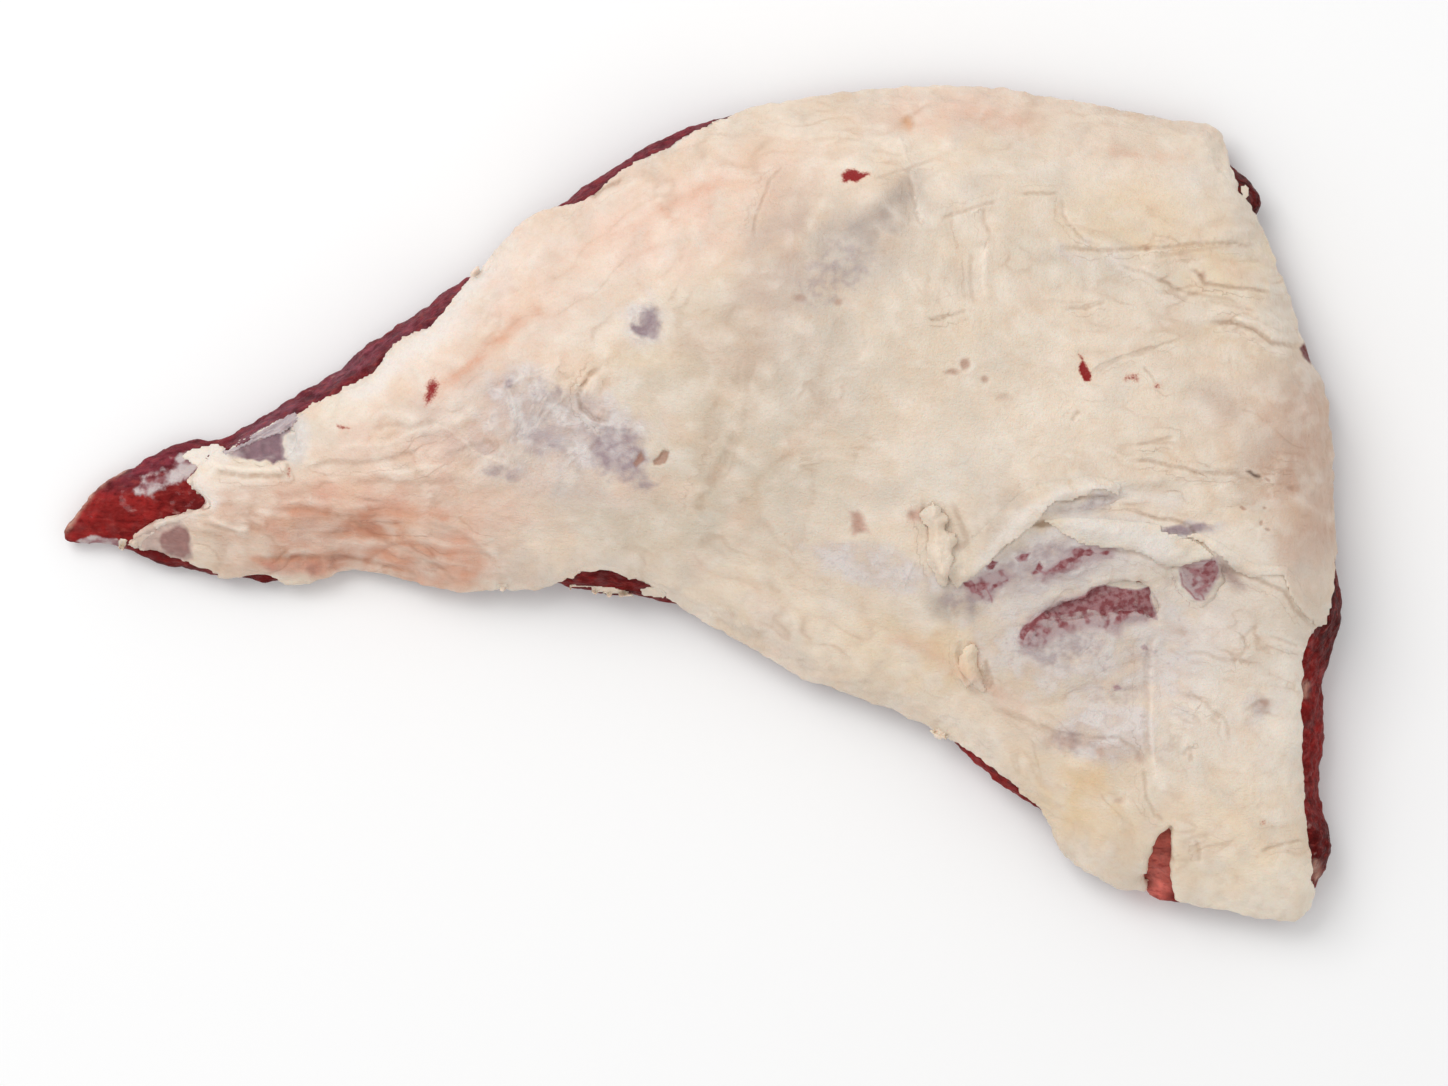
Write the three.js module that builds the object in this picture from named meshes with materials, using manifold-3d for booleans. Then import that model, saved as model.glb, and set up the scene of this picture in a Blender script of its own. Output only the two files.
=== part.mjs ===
// A raw beef tri-tip, fat side up: a flat triangle of lean muscle with a long tail, under a cap of cream fat.
// Millimetres, +Z up, +X away from the tail. The origin is under the middle of the joint, on what it rests on.

import * as THREE from "three";
import { mergeVertices } from "three/addons/utils/BufferGeometryUtils.js";
import Module from "manifold-3d";

// Lean: heights above the resting surface, and how fast the sides climb away from the outline.
const SIDE_BULGE_HEIGHT = 8.5; // where the side of the lean stands out furthest
const UNDERSIDE_ROUNDING = 9; // width of the rounded edge below that height
const EDGE_BAND = 1.5; // upright band along the outline
const FLANK = 17; // distance over which the top climbs, along the natural edges
const CUT_END_FLANK = 8; // the same at the cut end, which is nearly upright
const TAIL_FLANK = 11; // and in the thin tail
const CUT_END_X = [112, 150]; // the sides turn from natural to cut between these
const TAIL_X = [-90, -40]; // and from tail to body between these
const SPOT_REACH = 42; // how far each spot below has its say
const LUMP_HEIGHT = 0.7; // soft lumps over the whole joint
const LUMP_LENGTH = 23; // a sixth of a lump's length, near enough

const LEAN_SPOTS = [
  { name: "tail tip", x: -150, y: -5, height: 15 },
  { name: "tail", x: -100, y: 3, height: 24 },
  { name: "tail root", x: -45, y: 20, height: 38 },
  { name: "shoulder", x: -10, y: 55, height: 42 },
  { name: "belly", x: 50, y: 35, height: 49 },
  { name: "cut end", x: 125, y: 30, height: 44 },
  { name: "top corner", x: 118, y: 80, height: 36 },
  { name: "hollow side", x: 40, y: -30, height: 40 },
  { name: "heel", x: 120, y: -75, height: 29 },
];

// Fat: thickness over the lean.
const FAT_THICKNESS = 6;
const FAT_EDGE = 2.2; // at the pared or torn edge
const FAT_EDGE_REACH = 9; // it thickens over this distance
const FAT_OVERHANG = 1.4; // how far the fat hangs over where the two share an outline
const FAT_ROOT = 1.6; // depth that the fat is made into the lean before it is cut to fit
const FIT_GAP = 0.42; // left between fat and lean
const THINNEST_FAT = 1.7;

const THIN_FAT = [
  { name: "peeled hollow", x: 95, y: -36.5, rx: 33, ry: 23, left: 0.25 },
  { name: "peeled patch beside it", x: 122.5, y: -21, rx: 13, ry: 9, left: 0.3 },
  { name: "thin patch on the tail root", x: -31, y: 16.5, rx: 20, ry: 11, left: 0.55 },
  { name: "tail", x: -113, y: -3, rx: 48, ry: 30, left: 0.55 },
  { name: "grey streak on the crown", x: 34.5, y: 60.5, rx: 9, ry: 22, left: 0.7 },
];

// Folds: the fat on the left of each path stands higher than on its right by the height given.
const FOLDS = [
  {
    name: "torn lip",
    height: 2.8,
    reach: 13,
    path: [[58.5, -22.5], [69, -16.5], [76, -11], [82.5, -5], [87, 0], [104.5, 4], [138.5, 6]],
  },
  {
    name: "second sheet",
    height: 1.6,
    reach: 8,
    path: [[82.5, -5.5], [92.5, -6.5], [102, -9], [109.5, -13.5], [118, -16.5], [131, -16], [147, -25.5]],
  },
  {
    name: "cut end crease",
    height: 1,
    reach: 9,
    path: [[148, 37.5], [140, 41], [135, 45.5], [123.5, 47.5]],
  },
];

const PITS = [
  { name: "round grey pit", x: -14, y: 44.5, radius: 4.5, depth: 1.6 },
  { name: "small hole", x: -10, y: 11.5, radius: 2.6, depth: 1.4 },
  { name: "cut end pit", x: 122.5, y: 56, radius: 3, depth: 1.3 },
];

const SHREDS = [
  { name: "long shred", x: 58.5, y: -9.5, length: 20, width: 7.5, thickness: 3.2, turn: 1.75 },
  { name: "short shred", x: 65, y: -40.5, length: 12, width: 5.5, thickness: 2.4, turn: 1.75 },
];

// Mesh spacings.
const LEAN_STEP = 4;
const LEAN_GRID = 8;
const FAT_STEP = 3.4;
const FAT_GRID = 6.4;
const OUTLINE_STEP = 1; // for measuring distances to an outline

// Outlines seen from above, clockwise from the tip of the tail, as named stretches of points that curves pass through.
const bulge = [[-57.2, 59.5], [-50.8, 65.2], [-44.5, 71.5], [-38.8, 74.2]];
const crown = [[10.5, 99], [24.2, 101.5], [44.2, 104], [70.5, 104.5], [93, 100.8], [118, 95.8], [126.8, 93.8], [130.2, 88.5]];
const cutEnd = [[145.5, 55.5], [150, 41], [155.5, 29.5], [157.2, 16], [157.8, 3.5], [158.8, -9]];
const heel = [[153.2, -100.2], [149.2, -104], [139.8, -103.8], [128, -101]];
const heelCorner = [[111.8, -96.8], [104.8, -96.2], [93, -90.5], [88.8, -86], [86.5, -79.5]];
const hollow = [[61.2, -58.2], [50.5, -53.2], [39.2, -48.2], [25.5, -43.8], [11.8, -35.8], [-3.2, -27.5]];
const tailSide = [[-39.5, -21], [-50.8, -21.5], [-59.5, -22], [-72, -19.8], [-89.5, -16.2], [-97.8, -19.8], [-104.5, -20.5]];

const LEAN_STRETCHES = [
  [[-159.2, -8.5], [-155.8, -2.8], [-150, 6], [-144.5, 8.5], [-138.2, 12.8], [-132, 15.5], [-124.5, 16.2], [-119.5, 17]],
  [[-113.2, 21], [-104.5, 26], [-92, 33.8], [-85.8, 38.8], [-77, 44.8], [-62, 55]],
  inset(bulge, FAT_OVERHANG),
  [[-30.8, 79], [-23.2, 84], [-14.5, 89.2], [3, 96.5]],
  inset(crown, FAT_OVERHANG),
  [[134.2, 82.8], [139.2, 75.2], [137.8, 71.5]],
  inset(cutEnd, FAT_OVERHANG),
  [[159.8, -24], [156.8, -37.8], [155, -50], [155.8, -58.2], [154, -71.5], [156.5, -85], [153.5, -95.5]],
  inset(heel, FAT_OVERHANG),
  [[116, -100], [111.5, -97]],
  inset(heelCorner, FAT_OVERHANG),
  [[81.8, -75], [74.2, -70.2], [63, -59.5]],
  inset(hollow, FAT_OVERHANG),
  [[-8.8, -24.8], [-15.8, -23.2], [-24.5, -22.8], [-32, -21]],
  inset(tailSide, FAT_OVERHANG),
  [[-109, -19.4], [-121.5, -17.8], [-134.5, -15.2], [-144.5, -11.2], [-155.8, -9.5]],
];

const FAT_STRETCHES = [
  [[-144.4, -10], [-141.4, -7], [-136.2, -3.5], [-123.3, 0], [-125.8, 3.4], [-128.5, 6.1], [-125.5, 10], [-119.5, 14.7]],
  [[-111, 18.8], [-99.9, 23.2], [-91.2, 27.7], [-83.8, 31.2], [-75, 41.4], [-67.6, 44.4], [-63.2, 50]],
  bulge,
  [[-31.8, 75.6], [-25.6, 78.4], [-21.8, 82.4], [-9.4, 88.5], [-0.8, 93.3]],
  crown,
  [[133.8, 82.5], [135.8, 77], [138.4, 72]],
  cutEnd,
  [[157, -20.8], [154, -29.3], [150.5, -31.8], [148.5, -37.5], [148.4, -53.5], [149.2, -70.8], [151.4, -90]],
  heel,
  [[118, -99.5]],
  heelCorner,
  [[80.5, -73], [74.2, -67.5]],
  hollow,
  [[-14.5, -20.2], [-20.8, -17.8], [-27.8, -16.8], [-33.8, -19.2]],
  tailSide,
  [[-108.8, -18.2], [-116.2, -18.4], [-121.5, -18.6], [-130.2, -14.2], [-138.2, -12.2]],
];

// Openings torn or cut through the fat, in which the lean shows.
const FAT_WINDOWS = [
  {
    name: "tear in the peeled hollow",
    outline: [[83.5, -27.5], [87.5, -25], [93.7, -23.7], [98, -20.4], [109.5, -20.6], [111.5, -28.6], [107, -26], [99.3, -27]],
  },
  { name: "small tear", outline: [[116.5, -16.3], [125.5, -14.5], [128, -17.3], [123.4, -23.7], [118, -20.3]] },
  { name: "knife slit", outline: [[115.8, -79.5], [116.2, -90], [116.6, -102], [111.7, -102], [110.2, -90], [112.3, -84]] },
  { name: "gap under the sinew", outline: [[-116, 12.4], [-109.3, 15.4], [-102, 18.6], [-103.3, 10.8], [-109.3, 10.6]] },
];

// Moves the points of an open path to the inside of a clockwise outline.
function inset(path, distance) {
  return path.map(([x, y], i) => {
    const [ax, ay] = path[Math.max(i - 1, 0)];
    const [bx, by] = path[Math.min(i + 1, path.length - 1)];
    const length = Math.hypot(bx - ax, by - ay);
    return [x + ((by - ay) / length) * distance, y - ((bx - ax) / length) * distance];
  });
}

// Points at an even spacing on a smooth closed curve through the given ones.
function sampleClosed(points, step) {
  const curve = new THREE.CatmullRomCurve3(points.map(([x, y]) => new THREE.Vector3(x, y, 0)), true, "centripetal");
  curve.arcLengthDivisions = 2000;
  const count = Math.round(curve.getLength() / step);
  return curve.getSpacedPoints(count).slice(0, count).map((p) => [p.x, p.y]);
}

function isInside(outline, x, y) {
  let inside = false;
  outline.forEach(([ax, ay], i) => {
    const [bx, by] = outline[(i + 1) % outline.length];
    if (ay > y !== by > y && x < ax + ((y - ay) / (by - ay)) * (bx - ax)) inside = !inside;
  });
  return inside;
}

// Distance to an outline that stays smooth in the middle: near a straight edge it is the plain distance.
function softDistance(outline, x, y) {
  if (!isInside(outline, x, y)) return 0;
  let sum = 0;
  for (const [px, py] of outline) sum += OUTLINE_STEP / Math.hypot(px - x, py - y) ** 3;
  return Math.sqrt(2 / sum);
}

function distanceTo(points, x, y) {
  return Math.min(...points.map(([px, py]) => Math.hypot(px - x, py - y)));
}

// The nearest place on an open path: its distance, which side of the path (x, y) lies on, and how far along it is.
function nearestOnPath(path, x, y) {
  let best = { distance: Infinity };
  for (let i = 0; i + 1 < path.length; i++) {
    const [ax, ay] = path[i];
    const [dx, dy] = [path[i + 1][0] - ax, path[i + 1][1] - ay];
    const share = THREE.MathUtils.clamp(((x - ax) * dx + (y - ay) * dy) / (dx * dx + dy * dy), 0, 1);
    const distance = Math.hypot(x - ax - share * dx, y - ay - share * dy);
    if (distance < best.distance) {
      const onLeft = dx * (y - ay) - dy * (x - ax) > 0;
      best = { distance, onLeft, along: (i + share) / (path.length - 1) };
    }
  }
  return best;
}

const leanCurve = LEAN_STRETCHES.flat();
const fatCurve = FAT_STRETCHES.flat();
const leanEdge = sampleClosed(leanCurve, OUTLINE_STEP);
const fatEdge = sampleClosed(fatCurve, OUTLINE_STEP);

// Long soft lumps with ripples half as high on them.
function lumps(x, y) {
  const [u, v] = [x / LUMP_LENGTH, y / LUMP_LENGTH];
  const long = Math.sin(u + 0.75 * v + 0.6) * Math.cos(1.2 * v - 0.5 * u);
  const short = Math.sin(2.4 * u - 1.6 * v + 2) * Math.sin(2.1 * v + 1.35 * u);
  return LUMP_HEIGHT * (long + short / 2);
}

function spotHeight(x, y) {
  let [sum, weights] = [0, 0];
  for (const spot of LEAN_SPOTS) {
    const weight = Math.exp(-((Math.hypot(x - spot.x, y - spot.y) / SPOT_REACH) ** 2)) + 1e-9;
    sum += weight * spot.height;
    weights += weight;
  }
  return sum / weights;
}

function flankAt(x) {
  const cut = THREE.MathUtils.smoothstep(x, ...CUT_END_X);
  const body = THREE.MathUtils.smoothstep(x, ...TAIL_X);
  const natural = THREE.MathUtils.lerp(TAIL_FLANK, FLANK, body);
  return THREE.MathUtils.lerp(natural, CUT_END_FLANK, cut);
}

function bulgeHeight(x) {
  return SIDE_BULGE_HEIGHT * THREE.MathUtils.lerp(0.55, 1, THREE.MathUtils.smoothstep(x, ...TAIL_X));
}

function leanTop(x, y) {
  const from = softDistance(leanEdge, x, y);
  const climb = 1 - Math.exp(-from / flankAt(x));
  const base = bulgeHeight(x) + EDGE_BAND / 2;
  return base + (spotHeight(x, y) - base) * climb + lumps(x, y) * climb;
}

function leanBottom(x, y) {
  const share = Math.min(softDistance(leanEdge, x, y) / UNDERSIDE_ROUNDING, 1);
  return (bulgeHeight(x) - EDGE_BAND / 2) * (1 - Math.sqrt(1 - (1 - share) ** 2));
}

function foldHeight(x, y) {
  let height = 0;
  for (const fold of FOLDS) {
    const { distance, onLeft, along } = nearestOnPath(fold.path, x, y);
    const ends = Math.min(1, 6 * along, 6 * (1 - along));
    if (onLeft) height += fold.height * ends * Math.exp(-distance / fold.reach);
  }
  return height;
}

function fatThickness(x, y) {
  const edge = Math.min(softDistance(fatEdge, x, y) / FAT_EDGE_REACH, 1);
  let thickness = FAT_THICKNESS + lumps(y, x);
  for (const { x: cx, y: cy, rx, ry, left } of THIN_FAT) {
    const away = Math.hypot((x - cx) / rx, (y - cy) / ry);
    thickness *= left + (1 - left) * THREE.MathUtils.smoothstep(away, 0.5, 1.15);
  }
  return FAT_EDGE + (Math.max(thickness, THINNEST_FAT) - FAT_EDGE) * Math.sin((edge * Math.PI) / 2);
}

function fatTop(x, y) {
  let height = leanTop(x, y) + fatThickness(x, y) + foldHeight(x, y);
  for (const pit of PITS) height -= pit.depth * Math.exp(-((Math.hypot(x - pit.x, y - pit.y) / pit.radius) ** 4));
  return height;
}

function fatBottom(x, y) {
  return leanTop(x, y) - FAT_ROOT;
}

// Repeatable random numbers from 0 to 1.
function seededRandom(seed) {
  let state = seed;
  return () => {
    state = (state * 1664525 + 1013904223) % 4294967296;
    return state / 4294967296;
  };
}

// Points over an outline: the outline itself, rings just inside it, points beside the folds, and an even grid within.
function layPoints(curve, step, rings, grid, folds) {
  const edge = sampleClosed(curve, step);
  const points = [...edge];
  const add = (x, y, clear) => {
    if (isInside(edge, x, y) && distanceTo(points, x, y) > clear) points.push([x, y]);
  };
  for (const depth of rings) {
    const ring = inset([edge.at(-1), ...edge, edge[0]], depth).slice(1, -1);
    for (const [x, y] of ring) if (distanceTo(edge, x, y) > 0.9 * depth) add(x, y, Math.min(0.8 * step, 0.9 * depth));
  }
  for (const { path } of folds) {
    for (const side of [-0.7, 0.7, 3.2]) {
      const beside = new THREE.CatmullRomCurve3(inset(path, -side).map(([x, y]) => new THREE.Vector3(x, y, 0)));
      for (const p of beside.getSpacedPoints(Math.round(beside.getLength() / 3))) add(p.x, p.y, 1);
    }
  }
  const random = seededRandom(7);
  const box = new THREE.Box2().setFromPoints(edge.map(([x, y]) => new THREE.Vector2(x, y)));
  const rowHeight = grid * Math.sqrt(0.75);
  for (let row = 0, y = box.min.y; y < box.max.y; y += rowHeight, row++) {
    for (let x = box.min.x + (row % 2) * (grid / 2); x < box.max.x; x += grid) {
      const jitter = () => (random() - 0.5) * 0.25 * grid;
      add(x + jitter(), y + jitter(), 0.68 * grid);
    }
  }
  return { points, edge };
}

// Delaunay triangles over plane points, made by adding one point at a time.
function triangulate(points) {
  const far = 1e4;
  const all = [...points, [-far, -far], [far, -far], [0, far]];
  const cell = (a, b, c) => {
    const [[ax, ay], [bx, by], [cx, cy]] = [all[a], all[b], all[c]];
    const d = 2 * (ax * (by - cy) + bx * (cy - ay) + cx * (ay - by));
    const [a2, b2, c2] = [ax * ax + ay * ay, bx * bx + by * by, cx * cx + cy * cy];
    const x = (a2 * (by - cy) + b2 * (cy - ay) + c2 * (ay - by)) / d;
    const y = (a2 * (cx - bx) + b2 * (ax - cx) + c2 * (bx - ax)) / d;
    return { corners: [a, b, c], x, y, reach: (ax - x) ** 2 + (ay - y) ** 2 };
  };
  let cells = [cell(points.length, points.length + 1, points.length + 2)];
  points.forEach(([x, y], i) => {
    const rim = new Map();
    cells = cells.filter((c) => {
      if ((x - c.x) ** 2 + (y - c.y) ** 2 >= c.reach) return true;
      c.corners.forEach((a, k) => {
        const b = c.corners[(k + 1) % 3];
        if (!rim.delete(`${b},${a}`)) rim.set(`${a},${b}`, [a, b]);
      });
      return false;
    });
    for (const [a, b] of rim.values()) cells.push(cell(a, b, i));
  });
  return cells.map((c) => c.corners).filter((corners) => Math.max(...corners) < points.length);
}

// A closed sheet over an outline, between an upper and a lower height.
function closedSheet({ points, edge }, upper, lower) {
  const triangles = triangulate(points).filter((corners) => {
    const x = corners.reduce((sum, i) => sum + points[i][0], 0) / 3;
    const y = corners.reduce((sum, i) => sum + points[i][1], 0) / 3;
    return isInside(edge, x, y);
  });
  const count = points.length;
  const positions = [
    ...points.flatMap(([x, y]) => [x, y, upper(x, y)]),
    ...points.flatMap(([x, y]) => [x, y, lower(x, y)]),
  ];
  const sides = new Map();
  const index = [];
  for (const [a, b, c] of triangles) {
    index.push(a, b, c, a + count, c + count, b + count);
    for (const [from, to] of [[a, b], [b, c], [c, a]]) {
      if (!sides.delete(`${to},${from}`)) sides.set(`${from},${to}`, [from, to]);
    }
  }
  for (const [from, to] of sides.values()) index.push(from, from + count, to + count, from, to + count, to);
  const geometry = new THREE.BufferGeometry();
  geometry.setAttribute("position", new THREE.Float32BufferAttribute(positions, 3));
  geometry.setIndex(index);
  return geometry;
}

const wasm = await Module();
wasm.setup();

function toSolid(geometry) {
  const bare = geometry.clone();
  for (const name of ["normal", "uv"]) bare.deleteAttribute(name);
  const merged = mergeVertices(bare, 1e-3);
  return new wasm.Manifold(
    new wasm.Mesh({
      numProp: 3,
      vertProperties: new Float32Array(merged.attributes.position.array),
      triVerts: new Uint32Array(merged.index.array),
    }),
  );
}

function toGeometry(solid) {
  const { vertProperties, triVerts } = solid.getMesh();
  const geometry = new THREE.BufferGeometry();
  geometry.setAttribute("position", new THREE.Float32BufferAttribute(vertProperties, 3));
  geometry.setIndex([...triVerts]);
  return geometry;
}

// The same closed shape with its surface moved out along its normals.
function grown(geometry, distance) {
  const bigger = mergeVertices(geometry.clone(), 1e-3);
  bigger.computeVertexNormals();
  const { position, normal } = bigger.attributes;
  for (let i = 0; i < position.count; i++) {
    position.setXYZ(
      i,
      position.getX(i) + distance * normal.getX(i),
      position.getY(i) + distance * normal.getY(i),
      position.getZ(i) + distance * normal.getZ(i),
    );
  }
  return bigger;
}

// An upright prism taller than the joint.
function cutter(outline) {
  const shape = new THREE.Shape(sampleClosed(outline, 1.8).map(([x, y]) => new THREE.Vector2(x, y)));
  return toSolid(new THREE.ExtrudeGeometry(shape, { depth: 100, bevelEnabled: false }).translate(0, 0, -20));
}

// A torn shred of fat: a flattened lobe with a ragged rim, half sunk in the cap.
function shred({ x, y, length, width, thickness, turn }) {
  const lobe = new THREE.SphereGeometry(0.5, 14, 8);
  const { position } = lobe.attributes;
  for (let i = 0; i < position.count; i++) {
    const around = Math.atan2(position.getY(i), position.getX(i));
    const ragged = 1 + 0.14 * Math.sin(3 * around + 1) + 0.1 * Math.sin(5 * around);
    position.setXYZ(i, position.getX(i) * ragged * length, position.getY(i) * ragged * width, position.getZ(i) * thickness);
  }
  return toSolid(lobe.rotateZ(turn).translate(x, y, fatTop(x, y)));
}

function largestPiece(solid) {
  return solid.decompose().sort((a, b) => b.volume() - a.volume())[0];
}

function makeLean() {
  return closedSheet(layPoints(leanCurve, LEAN_STEP, [1.5, 5], LEAN_GRID, []), leanTop, leanBottom);
}

function makeFatCap(lean) {
  let cap = toSolid(closedSheet(layPoints(fatCurve, FAT_STEP, [1.5, 4.6], FAT_GRID, FOLDS), fatTop, fatBottom));
  for (const piece of SHREDS) cap = cap.add(shred(piece));
  for (const { outline } of FAT_WINDOWS) cap = cap.subtract(cutter(outline));
  return toGeometry(largestPiece(cap.subtract(toSolid(grown(lean, FIT_GAP)))));
}

const leanFinish = new THREE.MeshStandardMaterial({ color: 0x7a1f26, roughness: 0.35, metalness: 0 });
const fatFinish = new THREE.MeshStandardMaterial({ color: 0xead9c2, roughness: 0.5, metalness: 0 });

const leanGeometry = makeLean();
const lean = new THREE.Mesh(leanGeometry, leanFinish);
lean.name = "lean";
const fatCap = new THREE.Mesh(makeFatCap(leanGeometry), fatFinish);
fatCap.name = "fat_cap";

const triTip = new THREE.Group();
triTip.add(lean, fatCap);
const box = new THREE.Box3().setFromObject(triTip);
const middle = box.getCenter(new THREE.Vector3());
triTip.position.set(-middle.x, -middle.y, -box.min.z);

export default triTip;
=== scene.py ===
# %% [markdown]
# A raw beef tri-tip, lying fat side up
#
# The joint is a flat triangle of dark red lean with a long tail, under a cap of cream fat. Fat is never one
# colour: it is pink over the shoulder, olive in the middle and lavender where it is thin enough for the meat
# to show through. A film of membrane is torn back near the cut end. The frame's two solids give the form: a
# fine copy of each is carved and coloured by listed marks, and torn sheets are laid on top.

# %% Load the frame
import math

import bpy
import numpy as np
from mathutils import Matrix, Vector, noise
from mathutils.bvhtree import BVHTree
from mathutils.kdtree import KDTree


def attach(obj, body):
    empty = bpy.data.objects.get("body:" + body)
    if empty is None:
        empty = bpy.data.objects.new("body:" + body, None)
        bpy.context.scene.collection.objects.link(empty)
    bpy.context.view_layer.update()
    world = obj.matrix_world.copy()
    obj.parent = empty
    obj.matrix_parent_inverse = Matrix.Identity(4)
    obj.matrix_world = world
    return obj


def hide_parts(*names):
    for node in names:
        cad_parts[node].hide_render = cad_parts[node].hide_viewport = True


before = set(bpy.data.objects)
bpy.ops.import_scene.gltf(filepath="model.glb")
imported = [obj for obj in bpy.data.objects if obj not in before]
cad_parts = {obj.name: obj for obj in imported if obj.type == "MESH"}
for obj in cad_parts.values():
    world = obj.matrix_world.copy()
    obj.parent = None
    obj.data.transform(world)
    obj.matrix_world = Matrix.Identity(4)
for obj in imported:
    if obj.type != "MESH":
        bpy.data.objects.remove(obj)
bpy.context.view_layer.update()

MM = 0.001
print("nodes:", sorted(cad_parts))

# %% [markdown]
# Camera
#
# The view is straight down. From 1.5 m above, a long lens keeps the sides of the joint nearly hidden, as they
# should be. One pixel of the picture is a quarter of a millimetre at the height of the joint's outline.

# %% Camera
IMAGE_WIDTH = 1448
PIXEL = 0.25
CAMERA_HEIGHT = 1500
OUTLINE_HEIGHT = 12
SENSOR = 36
AIM = np.array((4.97, -9.91))

camera_data = bpy.data.cameras.new("camera")
camera_data.sensor_width = SENSOR
camera_data.lens = SENSOR * (CAMERA_HEIGHT - OUTLINE_HEIGHT) / (IMAGE_WIDTH * PIXEL)
camera = bpy.data.objects.new("camera", camera_data)
camera.location = (AIM[0] * MM, AIM[1] * MM, CAMERA_HEIGHT * MM)
bpy.context.scene.collection.objects.link(camera)
bpy.context.scene.camera = camera
print("lens", round(camera_data.lens, 1), "mm")

# %% [markdown]
# Light and floor
#
# A white sky lights the joint evenly, and one large soft lamp at the upper left gives the fat its gentle
# modelling and puts small highlights on the wet lean. The picture keeps true colours without a film look.

# %% Light and floor
SKY = 0.76
LAMP_WATTS = 8.5
LAMP_SIZE = 0.8
LAMP_PLACE = Vector((-0.55, 0.6, 1.2))
FLOOR_SIZE = 6
FLOOR_DROP = 0.2
FLOOR_PAINT = {"Base Color": (0.93, 0.93, 0.93, 1), "Roughness": 0.8, "Specular IOR Level": 0.2}

world = bpy.data.worlds.new("studio")
world.use_nodes = True
world.node_tree.nodes["Background"].inputs["Strength"].default_value = SKY
world.node_tree.nodes["Background"].inputs["Color"].default_value = (1, 1, 1, 1)
bpy.context.scene.world = world
bpy.context.scene.view_settings.view_transform = "Standard"

lamp_data = bpy.data.lights.new("soft lamp", "AREA")
lamp_data.energy = LAMP_WATTS
lamp_data.size = LAMP_SIZE
lamp = bpy.data.objects.new("soft lamp", lamp_data)
lamp.location = LAMP_PLACE
lamp.rotation_euler = LAMP_PLACE.to_track_quat("Z", "Y").to_euler()
bpy.context.scene.collection.objects.link(lamp)

bpy.ops.mesh.primitive_plane_add(size=FLOOR_SIZE, location=(0, 0, -FLOOR_DROP * MM))
floor = bpy.context.active_object
floor.name = "floor"
floor_paint = bpy.data.materials.new("floor paint")
floor_paint.use_nodes = True
for name, value in FLOOR_PAINT.items():
    floor_paint.node_tree.nodes["Principled BSDF"].inputs[name].default_value = value
floor.data.materials.append(floor_paint)
print("lamp", LAMP_WATTS, "W, sky", SKY)

# %% [markdown]
# Working on a piece
#
# Each piece is worked on in millimetres. These helpers pick a piece out, apply a modifier to it, and read and
# write its points.

# %% Helpers for pieces
def pick_out(piece):
    """Makes a piece the only selected and active one."""
    bpy.ops.object.select_all(action="DESELECT")
    piece.select_set(True)
    bpy.context.view_layer.objects.active = piece


def apply_modifier(piece, kind, **settings):
    """Adds a modifier with these settings and applies it."""
    pick_out(piece)
    modifier = piece.modifiers.new(kind.title(), kind)
    for name, value in settings.items():
        setattr(modifier, name, value)
    bpy.ops.object.modifier_apply(modifier=modifier.name)


def numbers_of(parts, what):
    """Three numbers for each vertex or face, such as its place in metres or its normal."""
    flat = np.empty(3 * len(parts), np.float32)
    parts.foreach_get(what, flat)
    return flat.reshape(-1, 3).astype(float)


def points_of(piece):
    """A piece's vertices in mm."""
    return numbers_of(piece.data.vertices, "co") / MM


def normals_of(piece):
    return numbers_of(piece.data.vertices, "normal")


def move_points(piece, points):
    """Puts a piece's vertices at these places in mm."""
    piece.data.vertices.foreach_set("co", (points * MM).astype(np.float32).ravel())
    piece.data.update()


def triangles_of(piece):
    return sum(len(face.vertices) - 2 for face in piece.data.polygons)


# %% [markdown]
# Fields
#
# Everything that is carved or coloured one by one is a mark with a place: a blotch is an ellipse, a stroke is
# an open path and a patch is a closed outline. A field turns marks into a number at each point, and soft
# random noise bends them, so that nothing looks drawn with a ruler. Marks are placed as the camera sees them,
# so points high on the joint are first drawn out from the camera's axis to the plane of the outline. Marks
# are measured from a zero of their own near the middle of the joint.

# %% The plane of the outline
MARKS_ZERO = np.array((-0.28, -0.17))


def seen_from_camera(points):
    """Where the camera sees points, in mm on the plane of the outline."""
    spread = (CAMERA_HEIGHT - OUTLINE_HEIGHT) / (CAMERA_HEIGHT - points[:, 2])
    return AIM + (points[:, :2] - AIM) * spread[:, None] - MARKS_ZERO


def place_at(plan, height):
    """The points at this height that the camera sees at plan places."""
    spread = (CAMERA_HEIGHT - height) / (CAMERA_HEIGHT - OUTLINE_HEIGHT)
    return np.column_stack((AIM + (plan + MARKS_ZERO - AIM) * spread[:, None], height))


print("(150, 0) at 50 mm up is seen at", seen_from_camera(np.array([(150, 0, 50)])).round(1))

# %% Soft noise
def ramp(value, low, high):
    """0 at low and 1 at high, eased at both ends."""
    share = np.clip((value - low) / (high - low), 0, 1)
    return share * share * (3 - 2 * share)


NOISE_TURN = np.array(((0.82, 0.5723), (-0.5723, 0.82)))


def rough(points, size, octaves=2, seed=0):
    """Soft random numbers, mostly from -1 to 1, that change over the given size."""
    if points.shape[1] == 2:
        points = np.column_stack((points @ NOISE_TURN, np.zeros(len(points))))
    shifted = points / size + np.array((13.7, 7.1, 3.3)) * seed
    return np.array([noise.fractal(p, 1, 2, octaves) for p in shifted.tolist()])


def bent(plan, amount, size, seed):
    """The same places, pushed about by soft noise."""
    return plan + amount * np.column_stack((rough(plan, size, 2, seed), rough(plan, size, 2, seed + 1)))


print("noise:", rough(np.array([(0, 0), (5, 0)]), 5, 2, 1))

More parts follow.
